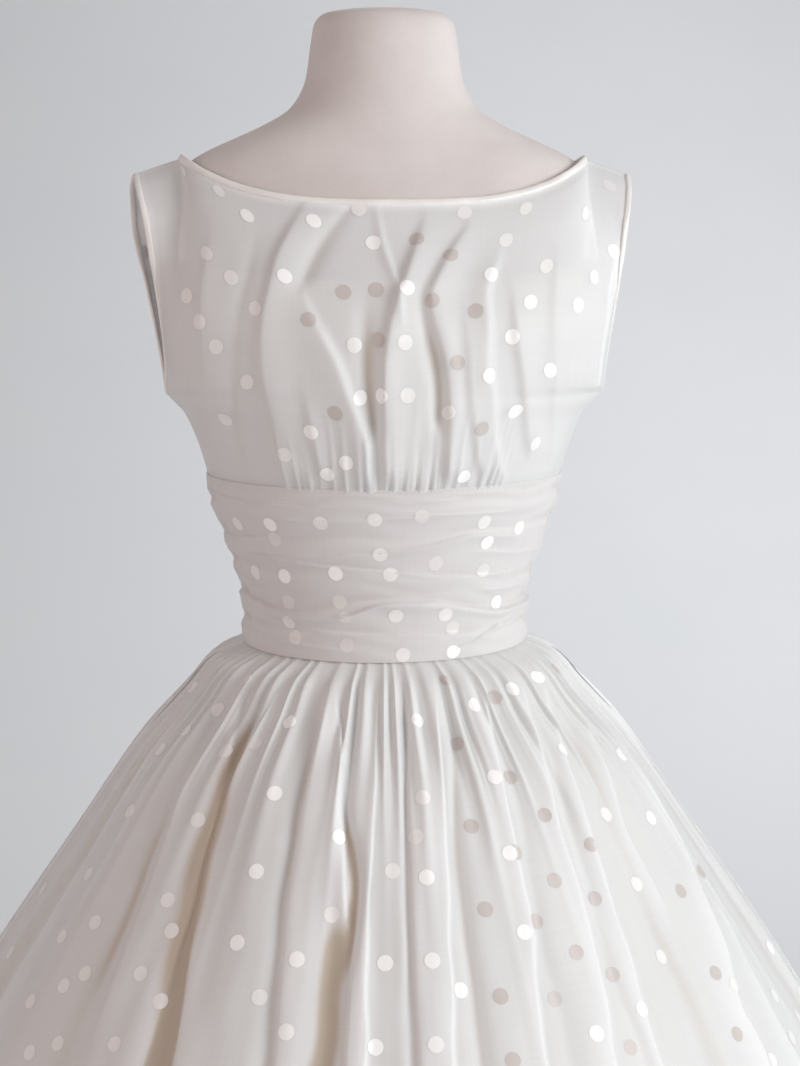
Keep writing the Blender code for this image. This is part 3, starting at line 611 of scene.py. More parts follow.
def lattice(sheet: Sheet, maker: DotMaker, columns: Array, low: float, high: float, tone: Tone,
            seed: int) -> Array:
    """Dots at even lengths up chosen grid columns, every second column half a pitch higher.

    Where the columns run together towards a gathered seam, half of the dots and then three in four
    drop out, as they lie hidden inside the gathers there.

    Args:
        sheet: the cloth.
        maker: the dots' spacing.
        columns: grid columns that carry dots.
        low: height above the floor of the lowest dot allowed.
        high: height of the highest.
        tone: the tone of them all.
        seed: chooses the first dot's height.

    Returns:
        The dots, as DotMaker.build takes them.
    """
    across, up = sheet.lengths()
    start = np.random.default_rng(seed).uniform(0, maker.pitch)
    spacing = np.diff(columns).mean()
    places = []
    for number, column in enumerate(columns):
        at = int(round(column))
        length, height = up[:, at], sheet.points[:, at, 2]
        steps = np.arange(start + (number % 2) * maker.pitch / 2 - maker.pitch, length[-1], maker.pitch)
        steps = steps[steps > maker.seam_clear]
        rows = np.interp(steps, length, np.arange(len(length)))
        z = np.interp(rows, np.arange(len(length)), height)
        room = np.interp(rows, np.arange(len(length)), across[:, -1]) * spacing / across.shape[1]
        every = np.where(room > maker.full_room, 1, np.where(room > maker.half_room, 2, 4))
        kept = (z > low) & (z < high) & ((number + (steps / maker.pitch).astype(int)) % every == 0)
        row = rows[kept]
        places.append(np.stack([row, np.full_like(row, column), np.full_like(row, tone.value[0]),
                                np.full_like(row, tone.value[1])], axis=-1))
    return np.concatenate(places)


def charted(sheet: Sheet, place: Array, chart: Chart, per_metre: float = 1.0) -> Array:
    """Dots at charted places: each sits at the grid point nearest its place and height.

    Args:
        sheet: the cloth.
        place: the chart's measure across, at each grid point.
        chart: the dots.
        per_metre: how much of that measure weighs as much as a metre of height.

    Returns:
        The dots, as DotMaker.build takes them.
    """
    found = []
    for tone, marks in chart.items():
        for across, height in marks:
            sideways = place / per_metre - across / per_metre
            near = np.argmin(sideways ** 2 + (sheet.points[..., 2] - height) ** 2)
            row, column = np.unravel_index(near, place.shape)
            found.append((row, column, *tone.value))
    return np.array(found, float)


def dotted_panel(name: str, sheet: Sheet, dense: Array, places: Array, organza: Material,
                 dots: Material) -> Piece:
    """A panel of organza that stands for the solid of its name, and the mesh of its dots."""
    cloth = sheet_piece(name + "_organza", sheet, organza, dense)
    marks = DotMaker().build(name + "_dots", sheet, places, dots)
    dress_piece(cloth, name)
    dress_piece(marks)
    return cloth


# ---------------------------------------------------------------- the bodice
class Line(NamedTuple):
    """A point of a line up the bodice, at a share of its height."""
    share: float
    x: float
    y: float
    z: float


@dataclass(frozen=True)
class Bodice:
    """The gathered front and back panels, cut in one with the shoulders, and the plain lining."""
    neck_half_width: float = 0.1575
    neck_point_z: float = 1.4150
    neck_point_share: float = 0.80
    neck_blend_from: float = 0.55
    neck_curve_power: float = 3.3
    shoulder_tip: tuple[float, float] = (0.1890, 1.4050)
    underarm_share: float = 0.33
    front_gathers: int = 20
    back_gathers: int = 6
    front_span: tuple[float, float] = (-0.42, 0.42)
    back_span: tuple[float, float] = (0.14, 0.54)
    gather_height: float = 0.0011
    gather_fade: float = 0.32       # share of the height over which the gathers die away
    pucker_height: float = 0.0011   # finer puckers between the gathers
    pucker_fade: float = 0.13
    fold_gain: float = 0.9
    shade_gain: float = 1.8         # how much deeper the folds' painted shade is than their relief
    shade_base: float = 0.002
    span_fade: float = 0.03         # share of the span over which the gathers start and end
    allowances: tuple[float, float, float] = (0.007, 0.008, 0.006)   # sides, upper edge, lower seam
    back_dots_top_z: float = 1.392
    lining_top: float = 0.75
    lining_insets: tuple[float, float] = (0.0060, 0.0050)
    placket_half_width: float = 0.007
    placket_shares: tuple[float, float] = (0.005, 0.993)
    rows: int = 120
    columns: int = 280

    SIDE_SEAM = (   # from the waistband to the underarm, shared by the front and the back
        Line(0.00, 0.1400, 0.000, BAND_TOP_Z), Line(0.12, 0.1470, 0.000, 1.198),
        Line(0.24, 0.1570, 0.000, 1.221), Line(0.33, 0.1690, 0.000, 1.2345))
    FRONT_SIDE = (
        *SIDE_SEAM,
        Line(0.38, 0.1700, -0.015, 1.2390), Line(0.46, 0.1695, -0.030, 1.258),
        Line(0.70, 0.1745, -0.049, 1.322), Line(0.86, 0.1800, -0.042, 1.369),
        Line(0.95, 0.1860, -0.022, 1.393), Line(1.00, 0.1890, 0.000, 1.4050))
    FRONT_MIDDLE = (
        Line(0.00, 0.0, -0.1070, BAND_TOP_Z), Line(0.12, 0.0, -0.1150, 1.196),
        Line(0.33, 0.0, -0.1240, 1.240), Line(0.52, 0.0, -0.1250, 1.281),
        Line(0.70, 0.0, -0.1140, 1.319), Line(0.86, 0.0, -0.0970, 1.352),
        Line(1.00, 0.0, -0.0815, 1.3806))
    BACK_SIDE = (
        *SIDE_SEAM,
        Line(0.38, 0.1710, 0.015, 1.2390), Line(0.46, 0.1745, 0.029, 1.258),
        Line(0.70, 0.1860, 0.041, 1.322), Line(0.86, 0.1930, 0.034, 1.369),
        Line(0.95, 0.1930, 0.018, 1.393), Line(1.00, 0.1890, 0.000, 1.4050))
    BACK_MIDDLE = (
        Line(0.00, 0.0, 0.1010, BAND_TOP_Z), Line(0.33, 0.0, 0.1110, 1.236),
        Line(0.52, 0.0, 0.1150, 1.277), Line(0.70, 0.0, 0.1140, 1.312),
        Line(0.86, 0.0, 0.1060, 1.343), Line(1.00, 0.0, 0.0930, 1.3700))
    FOLDS = (   # place is x in metres
        Crease(((-0.0784, 1.178), (-0.0881, 1.223), (-0.0969, 1.2754), (-0.0881, 1.3326), (-0.0614, 1.384)),
               0.0042, 0.0044, 4.2),
        Crease(((-0.0711, 1.3183), (-0.0614, 1.3374), (-0.0468, 1.3613), (-0.0297, 1.3827)),
               0.0065, -0.0032),
        Crease(((-0.0175, 1.178), (-0.0282, 1.2229), (-0.0468, 1.2706), (-0.0687, 1.3159)),
               0.0190, 0.0046, 0.20),
        Crease(((-0.0166, 1.2100), (-0.0205, 1.2400), (-0.0224, 1.2658), (-0.0234, 1.3100)),
               0.0066, -0.0050),
        Crease(((-0.0068, 1.178), (-0.0102, 1.2229), (-0.0102, 1.2658), (-0.0054, 1.2945), (0.0068, 1.3279),
                (0.0239, 1.3708)), 0.0036, 0.0056, 4.0),
        Crease(((0.0321, 1.2150), (0.0300, 1.2450), (0.0263, 1.2754), (0.0175, 1.3140)), 0.0062, -0.0048),
        Crease(((0.0385, 1.178), (0.0375, 1.2277), (0.0340, 1.2658), (0.0239, 1.3112), (0.0360, 1.3374),
                (0.0555, 1.3660)), 0.0036, 0.0050, 4.0),
        Crease(((0.0640, 1.180), (0.0560, 1.2229), (0.0520, 1.2700), (0.0500, 1.3000)), 0.0034, 0.0026, 3.0),
        Crease(((0.0800, 1.178), (0.0701, 1.2229), (0.0653, 1.2754), (0.0653, 1.3136), (0.0750, 1.3469)),
               0.0110, 0.0036, 0.35),
        Crease(((0.1040, 1.190), (0.0969, 1.2325), (0.0896, 1.2754), (0.0847, 1.3231)), 0.0040, 0.0030, 3.2),
        Crease(((0.1240, 1.185), (0.1200, 1.2400), (0.1180, 1.3000), (0.1220, 1.3500)), 0.0050, 0.0016, 2.5),
        Crease(((-0.0500, 1.178), (-0.0590, 1.2050), (-0.0660, 1.2500)), 0.0040, 0.0024, 2.6),
        Crease(((-0.1130, 1.180), (-0.1190, 1.2400), (-0.1140, 1.3000), (-0.1000, 1.3600)), 0.0060, -0.0018),
        Crease(((-0.1300, 1.185), (-0.1390, 1.2450), (-0.1400, 1.3100), (-0.1330, 1.3600)),
               0.0045, 0.0018, 2.4),
        Crease(((0.0030, 1.2950), (0.0010, 1.3200), (-0.0080, 1.3520), (-0.0120, 1.3800)), 0.0052, 0.0024, 0.4))

    BACK_FOLDS = (   # place is x in metres, the same on both sides
        Crease(((0.030, 1.180), (0.034, 1.240), (0.050, 1.300)), 0.006, 0.0030, 1.5),
        Crease(((0.062, 1.180), (0.066, 1.235), (0.082, 1.290)), 0.007, 0.0034, 1.4),
        Crease(((0.092, 1.180), (0.098, 1.230), (0.110, 1.280)), 0.006, 0.0022, 1.4))

    DOTS: ClassVar[Chart] = {   # place is x in metres
        Tone.BRIGHT: (
            (-0.106, 1.372), (-0.0803, 1.3284), (-0.0623, 1.2179), (-0.058, 1.3677), (-0.0499, 1.1862),
            (-0.0369, 1.1955), (-0.0157, 1.3527), (-0.0125, 1.2448), (0.0071, 1.3223), (0.0494, 1.1835),
            (0.0668, 1.2582), (0.0692, 1.3313), (0.0839, 1.2858), (0.0874, 1.231), (0.1137, 1.2603)),
        Tone.PALE: (
            (-0.1528, 1.4052), (-0.1508, 1.3145), (-0.1422, 1.2961), (-0.1356, 1.345), (-0.1297, 1.2787),
            (-0.1266, 1.39), (-0.1241, 1.2236), (-0.1183, 1.328), (-0.1084, 1.2529), (-0.101, 1.3064),
            (-0.0816, 1.2008), (-0.031, 1.2811), (-0.0274, 1.2431), (-0.0253, 1.3760), (0.0048, 1.2829),
            (0.0067, 1.2449), (0.0364, 1.2319), (0.0526, 1.3741), (0.0822, 1.3544), (0.0982, 1.3103),
            (0.0996, 1.3780), (0.1067, 1.2046), (0.1118, 1.3357), (0.1361, 1.3071), (0.1472, 1.374),
            (0.151, 1.3271), (0.1716, 1.3940), (0.1700, 1.3445)),
        Tone.GREY: (
            (-0.0642, 1.3002), (-0.0452, 1.2321), (-0.0383, 1.3181), (-0.0149, 1.3198), (-0.0144, 1.2848),
            (0.0158, 1.3562), (0.0247, 1.3125), (0.0398, 1.3445), (0.0424, 1.2683), (0.0564, 1.3042),
            (0.0623, 1.2187)),
        Tone.GHOST: (
            (-0.152, 1.3679), (-0.0835, 1.2505), (-0.0795, 1.1816), (-0.0194, 1.2059))}

    def body_surface(self, side: tuple[Line, ...], middle: tuple[Line, ...], across: Array,
                     share: Array) -> Array:
        """The bodice below the neckline: at each height, an oval from the middle line to the side line."""
        angle = across * np.pi / 2
        levels = [row.share for row in side]
        x_side, y_side, z_side = (through(levels, [row[k] for row in side], share) for k in (1, 2, 3))
        levels = [row.share for row in middle]
        y_mid, z_mid = (through(levels, [row[k] for row in middle], share) for k in (2, 3))
        bulge = np.cos(angle)
        return np.stack([x_side * np.sin(angle), y_side + (y_mid - y_side) * bulge,
                         z_side + (z_mid - z_side) * bulge], axis=-1)

    def top_edge(self, across: Array, neck_y: float, neck_z: float) -> Array:
        """The neckline from the middle to the neck point, then the straight shoulder seam."""
        side = np.sign(across) + (across == 0)
        round_neck = np.clip(np.abs(across) / self.neck_point_share, 0, 1) * np.pi / 2
        along = np.clip((np.abs(across) - self.neck_point_share) / (1 - self.neck_point_share), 0, 1)
        x = self.neck_half_width * np.sin(round_neck) + along * (self.shoulder_tip[0] - self.neck_half_width)
        y = neck_y * np.cos(round_neck)
        z = neck_z + (self.neck_point_z - neck_z) * np.sin(round_neck) ** self.neck_curve_power
        return np.stack([side * x, y, z + along * (self.shoulder_tip[1] - self.neck_point_z)], axis=-1)

    def base(self, side: tuple[Line, ...], middle: tuple[Line, ...], columns: Array, shares: Array) -> Array:
        """The smooth bodice on a grid: its upper rows turn evenly towards the neckline and shoulder."""
        across, share = np.meshgrid(columns, shares)
        body = self.body_surface(side, middle, across, share)
        missing = (self.top_edge(across, middle[-1].y, middle[-1].z)
                   - self.body_surface(side, middle, across, share * 0 + 1))
        turn = smooth((share - self.neck_blend_from) / (1 - self.neck_blend_from))
        return body + turn[..., None] * missing

    def gathers(self, columns: Array, shares: Array, span: tuple[float, float], count: int,
                seed: int) -> Array:
        """Gathers along the lower seam: uneven waves with finer puckers between, dying away upwards."""
        across, share = np.meshgrid(columns, shares)
        place = (across - span[0]) / (span[1] - span[0])
        edge = smooth(place / self.span_fade) * smooth((1 - place) / self.span_fade)
        uneven = 0.75 + 0.25 * np.sin(7.3 * place * np.pi) + 0.20 * wander(place * 60, seed)
        shift = 0.22 * wander(place * 35, seed + 1)
        wave = 0.5 + 0.5 * np.cos(2 * np.pi * (count * place + shift))
        finer = 0.5 + 0.5 * np.cos(2 * np.pi * (2.3 * count * place + 2 * shift + share))
        length = 0.72 + 0.55 * (0.5 + 0.5 * wander(place * 50, seed + 2))
        fade = np.clip(1 - share / (self.gather_fade * length), 0, 1) ** 1.5
        fine_fade = np.clip(1 - share / (self.pucker_fade * length), 0, 1)
        return edge * (2 * self.gather_height * uneven * wave * fade + self.pucker_height * finer * fine_fade)

    def directions(self, base: Array, shares: Array, seam_columns: tuple[int, ...] = ()) -> Array:
        """Ways out of the smooth bodice, turned into the planes of its seams."""
        direction = outward(base)
        keep_level(direction, np.s_[0, :], 2)
        below_arm = shares <= self.underarm_share + 1e-6
        for column in (0, -1):
            if abs(base[0, column, 1]) < 1e-6:
                keep_level(direction, np.s_[below_arm, column], 1)
        for column in seam_columns:
            keep_level(direction, np.s_[:, column], 0)
        return direction

    def shares(self) -> Array:
        """Rows of the grid, evenly spaced from the waistband to the top edge."""
        return np.linspace(0, 1, self.rows)

    def front(self) -> tuple[Sheet, Array, Array]:
        """The front panel, with its smooth base and ways out for the bindings."""
        columns, shares = np.linspace(-1, 1, self.columns), self.shares()
        base = self.base(self.FRONT_SIDE, self.FRONT_MIDDLE, columns, shares)
        direction = self.directions(base, shares)
        relief = self.gathers(columns, shares, self.front_span, self.front_gathers, 3)
        folds = crease_relief(self.FOLDS, base[..., 0], base[..., 2], (0.020, 0.055))
        relief = relief + self.fold_gain * folds
        base[0, :, 2] += SEAM_GAP
        outer = base + direction * (relief - CLOTH_WALL / 2)[..., None]
        return Sheet(*tuck(outer, relief * self.shade_gain + self.shade_base, 0, TUCK_DOWN)), base, direction

    def back(self, side: float) -> tuple[Sheet, Array, Array]:
        """One back panel: side is 1 for +X. With its base and ways out, from the middle to the side."""
        columns, shares = np.linspace(0, 1, self.columns // 2), self.shares()
        base = self.base(self.BACK_SIDE, self.BACK_MIDDLE, columns, shares)
        direction = self.directions(base, shares, seam_columns=(0,))
        relief = self.gathers(columns, shares, self.back_span, self.back_gathers, 17 if side > 0 else 23)
        relief = relief + crease_relief(self.BACK_FOLDS, base[..., 0], base[..., 2], (0.020, 0.060))
        base[0, :, 2] += SEAM_GAP
        base[:, 0, 0] = SEAM_GAP / 2
        outer = (base + direction * (relief - CLOTH_WALL / 2)[..., None]) * np.array([side, 1.0, 1.0])
        sheet = Sheet(*tuck(outer, relief * self.shade_gain + self.shade_base, 0, TUCK_DOWN))
        return sheet.facing_out(), base, direction

    def lining(self, side: tuple[Line, ...], middle: tuple[Line, ...], inset: float) -> Sheet:
        """The plain lining of the front or the back, cut lower than the neckline."""
        columns, shares = np.linspace(-0.95, 0.95, 120), np.linspace(0, self.lining_top, 70)
        base = self.base(side, middle, columns, shares)
        base[0, :, 2] += SEAM_GAP
        return Sheet(base - outward(base) * inset, np.zeros(base.shape[:2])).facing_out()

    def build(self, wardrobe: Wardrobe) -> tuple[tuple[Array, Array], tuple[Array, Array]]:
        """Build the panels, the linings and the placket.

        Args:
            wardrobe: the finishes.

        Returns:
            Base and ways out of the front, and of one back, for the bindings.
        """
        sheet, front_base, front_way = self.front()
        places = charted(sheet, sheet.points[..., 0], self.DOTS)
        cloth = dotted_panel("bodice_front", sheet, self.edges(sheet), places, wardrobe.organza, wardrobe.dots)
        cut(cloth, (0.66, 0.30), 0.62)

        for side, name in ((1.0, "right"), (-1.0, "left")):
            sheet, back_base, back_way = self.back(side)
            columns = np.linspace(5, sheet.relief.shape[1] - 5, 8)
            places = lattice(sheet, DotMaker(), columns, BAND_TOP_Z + 0.012, self.back_dots_top_z, Tone.PALE, 7)
            cloth = dotted_panel(f"bodice_back_{name}", sheet, self.edges(sheet), places,
                                 wardrobe.organza, wardrobe.dots)
            cut(cloth, (0.28, 0.29), 0.70)

        self.placket(wardrobe)
        for node, side_lines, middle_lines, inset in (
                ("bodice_lining_front", self.FRONT_SIDE, self.FRONT_MIDDLE, self.lining_insets[0]),
                ("bodice_lining_back", self.BACK_SIDE, self.BACK_MIDDLE, self.lining_insets[1])):
            lining = sheet_piece(node + "_lawn", self.lining(side_lines, middle_lines, inset), wardrobe.lining)
            dress_piece(lining, node)
            cut(lining, (0.50, 0.20), 0.75)
        return (front_base, front_way), (back_base, back_way)

    def placket(self, wardrobe: Wardrobe) -> None:
        """The narrow lap down the centre back: cloth folded over both its edges, over the panels' seam."""
        across = np.array((-1.0, -0.98, -0.92, -0.5, 0.0, 0.5, 0.92, 0.98, 1.0))
        out = np.array((0.0006, 0.0013, 0.0018, 0.0020, 0.0020, 0.0020, 0.0018, 0.0013, 0.0006))
        reach = 2 / np.pi * np.arcsin(self.placket_half_width / self.BACK_SIDE[3].x)
        shares = np.linspace(*self.placket_shares, 90)
        base = self.base(self.BACK_SIDE, self.BACK_MIDDLE, across * reach, shares)
        lift = out[None, :] + 0.00025 * wander(shares * 30, 8)[:, None] * (1 - across[None, :] ** 2)
        sheet = Sheet(base + outward(base) * lift[..., None], np.zeros(lift.shape)).facing_out()
        piece = sheet_piece("back_placket_organza", sheet, wardrobe.folded_organza)
        dress_piece(piece, "back_placket")
        cut(piece, (0.20, 0.017), 1.0)

    def edges(self, sheet: Sheet) -> Array:
        """Thicknesses past the first: seam allowances turned in along the sides, neck and armholes."""
        across, up = sheet.lengths()
        side = np.minimum(across, across[:, -1:] - across)
        at_sides, at_top, at_seam = self.allowances
        return 1.0 - smooth(side / at_sides) * smooth((up[-1:] - up) / at_top) * smooth(up / at_seam)


# ---------------------------------------------------------------- the bindings
@dataclass(frozen=True)
class Bindings:
    """Narrow bias strips of satin, folded over the neckline and round each armhole."""
    neck_radius: float = 0.0027
    arm_radius: float = 0.0019
    gap: float = -0.0012        # the folded strip takes in the cloth's edge
    corners: int = 16

    def sides(self, edge: Array, direction: Array, inward: Array) -> Array:
        """At each point of a panel's edge, the way that leads past it within the cloth's surface."""
        side = unit(np.cross(np.gradient(edge, axis=0), direction))
        return side * np.sign((side * (edge - inward)).sum(axis=-1, keepdims=True))

    def run(self, base: Array, direction: Array, where: Any, inside: Any, radius: float) -> tuple[Array, ...]:
        """Middle line of a binding on a panel's edge, its way past the edge, and its way out."""
        edge, way = base[where], direction[where]
        side = self.sides(edge, way, base[inside])
        return edge - way * CLOTH_WALL / 2 + side * (radius + self.gap), side, way

    def strip(self, path: Array, side: Array, way: Array, tall: float, thick: float, closed: bool) -> Sheet:
        """The folded strip: a rounded flat profile carried along the path, with a slight roll.

        The profile is tall along the cloth and thick across it, its halves as a flattened oval.
        """
        turn = np.linspace(0, 2 * np.pi, self.corners, endpoint=False)
        high = np.sign(np.cos(turn)) * np.abs(np.cos(turn)) ** 0.75 * tall
        out = np.sign(np.sin(turn)) * np.abs(np.sin(turn)) ** 0.75 * thick
        along = np.concatenate([[0.0], np.cumsum(np.linalg.norm(np.diff(path, axis=0), axis=-1))])
        roll = 0.16 * wander(along * 60, 4)[:, None, None]
        swell = 1 + 0.05 * wander(along * 140, 6)[:, None, None]
        tilted_side = side[:, None] * np.cos(roll) + way[:, None] * np.sin(roll)
        tilted_way = way[:, None] * np.cos(roll) - side[:, None] * np.sin(roll)
        points = path[:, None] + (tilted_side * high[None, :, None] + tilted_way * out[None, :, None]) * swell
        return Sheet(points, np.zeros(points.shape[:2]), closed=True)

    def tube(self, name: str, strip: Sheet, closed: bool, finish: Material) -> Piece:
        """A mesh of a strip: closed along its length, or with its two ends filled."""
        length, corners = strip.relief.shape
        points = strip.points.reshape(-1, 3)
        rows = length + 1 if closed else length
        index = np.arange(rows * corners).reshape(rows, corners) % (length * corners)
        index = np.concatenate([index, index[:, :1]], axis=1)
        faces = np.stack([index[:-1, :-1], index[1:, :-1], index[1:, 1:], index[:-1, 1:]], axis=-1)
        faces = faces.reshape(-1, 4)
        if not closed:
            faces = np.concatenate([faces, end_caps(corners, (length - 1) * corners)[:, ::-1]])
        piece = mesh_piece(name, points, faces, finish)
        volume_out(piece)
        return piece

    def build(self, front: tuple[Array, Array], back: tuple[Array, Array], bodice: Bodice,
              wardrobe: Wardrobe) -> None:
        """Build the neck binding, open at the centre back, and the two armhole bindings."""
        mirror = np.array([-1.0, 1.0, 1.0])
        halves = []
        for base, way in (front, back):
            neck = np.flatnonzero((base[-1, :, 0] >= -1e-3) & (base[-1, :, 0] <= bodice.neck_half_width + 1e-6))
            halves.append(self.run(base, way, (-1, neck), (-2, neck), self.neck_radius))
        (path_f, side_f, way_f), (path_b, side_b, way_b) = halves
        path = np.concatenate([path_f[1:], path_b[::-1]])
        side = np.concatenate([side_f[1:], side_b[::-1]])
        way = np.concatenate([way_f[1:], way_b[::-1]])
        path[-1, 0] = SEAM_GAP
        path, side, way = (np.concatenate([part[::-1] * mirror, part]) for part in (path, side, way))
        ring = (soften(path, 25), unit(soften(side, 25)), unit(soften(way, 25)))
        strip = self.strip(*ring, tall=self.neck_radius * 0.98, thick=self.neck_radius * 0.62, closed=False)
        neck = self.tube("neck_binding_satin", strip, False, wardrobe.binding)
        dress_piece(neck, "neck_binding")
        cut(neck, (strip_length(ring[0]), 0.010), 0.74)

        shares = bodice.shares()
        above = np.flatnonzero(shares >= bodice.underarm_share - 1e-6)
        runs = [self.run(base, way, (above, -1), (above, -2), self.arm_radius) for base, way in (front, back)]
        path, side, way = (np.concatenate([first, second[::-1]]) for first, second in zip(*runs))
        path, side, way = soften(path, 5, True), unit(soften(side, 9, True)), unit(soften(way, 9, True))
        for sign, name in ((1.0, "right"), (-1.0, "left")):
            flip = np.array([sign, 1.0, 1.0])
            strip = self.strip(path * flip, side * flip, way * flip, self.arm_radius * 1.15,
                               self.arm_radius * 0.75, closed=True)
            piece = self.tube(f"armhole_binding_{name}_satin", strip, True, wardrobe.binding)
            dress_piece(piece, f"armhole_binding_{name}")
            cut(piece, (strip_length(path), 0.010), 0.62)


def strip_length(path: Array) -> float:
    """Length of a path in metres, to the nearest centimetre."""
    return round(float(np.linalg.norm(np.diff(path, axis=0), axis=-1).sum()), 2)


def soften(line: Array, reach: int, closed: bool = False) -> Array:
    """Moving mean along a line of points, with its ends held or joined."""
    pad = reach // 2
    ends = (line[-pad:], line[:pad]) if closed else (np.repeat(line[:1], pad, 0), np.repeat(line[-1:], pad, 0))
    long = np.concatenate([ends[0], line, ends[1]])
    return np.stack([np.convolve(long[:, k], np.ones(reach) / reach, "valid") for k in range(3)], axis=-1)


def volume_out(piece: Piece) -> None:
    """Turn a closed mesh's faces outwards if they enclose a negative volume."""
    mesh = piece.data
    points = np.empty(len(mesh.vertices) * 3)
    mesh.vertices.foreach_get("co", points)
    points = points.reshape(-1, 3)
    mesh.calc_loop_triangles()
    corners = np.empty(len(mesh.loop_triangles) * 3, dtype=np.int32)
    mesh.loop_triangles.foreach_get("vertices", corners)
    a, b, c = (points[corners.reshape(-1, 3)[:, k]] for k in range(3))
    if (np.cross(a, b) * c).sum() < 0:
        mesh.flip_normals()


# ---------------------------------------------------------------- the waistband
class Ring(NamedTuple):
    """A level section: an oval with its own depth in front of and behind the middle."""
    z: float
    half_width: float
    front: float
    back: float


class BandLine(NamedTuple):
    """A ridge or trough round the waistband: its height at five places, and how far it is out."""
    z_left: float
    z_left_front: float
    z_middle: float
    z_right_front: float
    z_right: float
    out: float


@dataclass(frozen=True)
class Waistband:
    """The draped band: one strip of organza in soft pleats round the waist, seamed at the sides."""
    rows: int = 150
    front_columns: int = 260
    places_deg: tuple[float, ...] = (-90.0, -45.0, 0.0, 45.0, 90.0)
    shade_gain: float = 3.0
    shade_base: float = 0.001
    degrees_per_metre: float = 500.0    # for finding the grid point nearest a dot
    mean_width: float = 0.2             # turns a seam's gap into an angle

    RINGS = (
        Ring(WAIST_Z, 0.1130, 0.0925, 0.0860), Ring(1.060, 0.1130, 0.0930, 0.0860),
        Ring(1.078, 0.1130, 0.0935, 0.0860), Ring(1.105, 0.1205, 0.0970, 0.0890),
        Ring(1.135, 0.1300, 0.1010, 0.0940), Ring(1.155, 0.1375, 0.1045, 0.0980),
        Ring(BAND_TOP_Z, 0.1400, 0.1070, 0.1010))
    LINES = (
        BandLine(1.0400, 1.0400, 1.0400, 1.0400, 1.0400, 0.0000),
        BandLine(1.051, 1.055, 1.055, 1.052, 1.050, 0.0005),
        BandLine(1.063, 1.0655, 1.0640, 1.0615, 1.059, -0.0006),
        BandLine(1.077, 1.0710, 1.0845, 1.0715, 1.070, 0.0012),
        BandLine(1.084, 1.0780, 1.0920, 1.0785, 1.078, -0.0008),
        BandLine(1.098, 1.0980, 1.1030, 1.0910, 1.088, 0.0004),
        BandLine(1.111, 1.1130, 1.1140, 1.1030, 1.097, -0.0006),
        BandLine(1.118, 1.1200, 1.1280, 1.1345, 1.127, 0.0009),
        BandLine(1.132, 1.1360, 1.1400, 1.1440, 1.140, -0.0004),
        BandLine(1.147, 1.1500, 1.1560, 1.1540, 1.153, 0.0006),
        BandLine(1.158, 1.1610, 1.1675, 1.1660, 1.164, -0.0004),
        BandLine(BAND_TOP_Z, BAND_TOP_Z, BAND_TOP_Z, BAND_TOP_Z, BAND_TOP_Z, 0.0000))
    PLEATS = (   # degrees round and height of a pleat's edge, half width below it, height, lean above
        Crease(((-90, 1.083), (-62, 1.079), (-45, 1.0725), (-25, 1.0735), (0, 1.0868), (15, 1.0862),
                (30, 1.0800), (45, 1.0742), (70, 1.073), (90, 1.073)), 0.0062, 0.0027, 0.11),
        Crease(((-62, 1.1185), (-40, 1.1200), (-5, 1.1255), (12, 1.1310), (25, 1.1365), (50, 1.132)),
               0.0050, 0.0015, 0.11),
        Crease(((-48, 1.1175), (-20, 1.1140), (0, 1.1105), (25, 1.1045), (50, 1.1035)), 0.0040, 0.0015, 0.13),
        Crease(((-35, 1.0640), (-10, 1.0620), (10, 1.0608), (30, 1.0600), (50, 1.0610)), 0.0040, 0.0015, 0.13),
        Crease(((20, 1.0465), (34, 1.0540), (48, 1.0640), (58, 1.0690)), 0.0045, 0.0019, 0.11),
        Crease(((-86, 1.1640), (-60, 1.1610), (-30, 1.1600), (0, 1.1640), (20, 1.1660)), 0.0040, 0.0014, 0.13),
        Crease(((-40, 1.1490), (-15, 1.1500), (15, 1.1545), (40, 1.1530)), 0.0036, 0.0010, 0.14),
        Crease(((-80, 1.0560), (-50, 1.0530), (-20, 1.0500)), 0.0036, 0.0010, 0.14),
        Crease(((30, 1.1240), (55, 1.1180), (90, 1.1150)), 0.0045, 0.0014, 0.13),
        Crease(((35, 1.0930), (60, 1.0900), (90, 1.0880)), 0.0045, 0.0014, 0.13),
        Crease(((-90, 1.1270), (-70, 1.1290), (-50, 1.1330)), 0.0045, 0.0014, 0.13),
        Crease(((-90, 1.0980), (-70, 1.0960), (-52, 1.0910)), 0.0045, 0.0014, 0.13))
    DOTS: ClassVar[Chart] = {   # place is degrees round the body
        Tone.BRIGHT: (
            (-43.4, 1.1445), (-42.7, 1.1039), (-21.2, 1.1088), (23.3, 1.0461), (33, 1.1297), (45.5, 1.0793)),
        Tone.PALE: (
            (-61.4, 1.1408), (-59.4, 1.1027), (-43.4, 1.0683), (-24, 1.1482), (-6.6, 1.1519), (-5.2, 1.1248),
            (-1.7, 1.1088), (0.3, 1.0769), (3.1, 1.0461), (19.8, 1.0757), (30.2, 1.1457), (47.6, 1.1383)),
        Tone.FAINT: (
            (-44.1, 1.083), (-43.4, 1.1322), (-40.6, 1.056), (-21.2, 1.0867), (-19.1, 1.0757),
            (-18.4, 1.0535), (8, 1.1531), (14.2, 1.1162), (23.3, 1.0646), (34.4, 1.1076))}

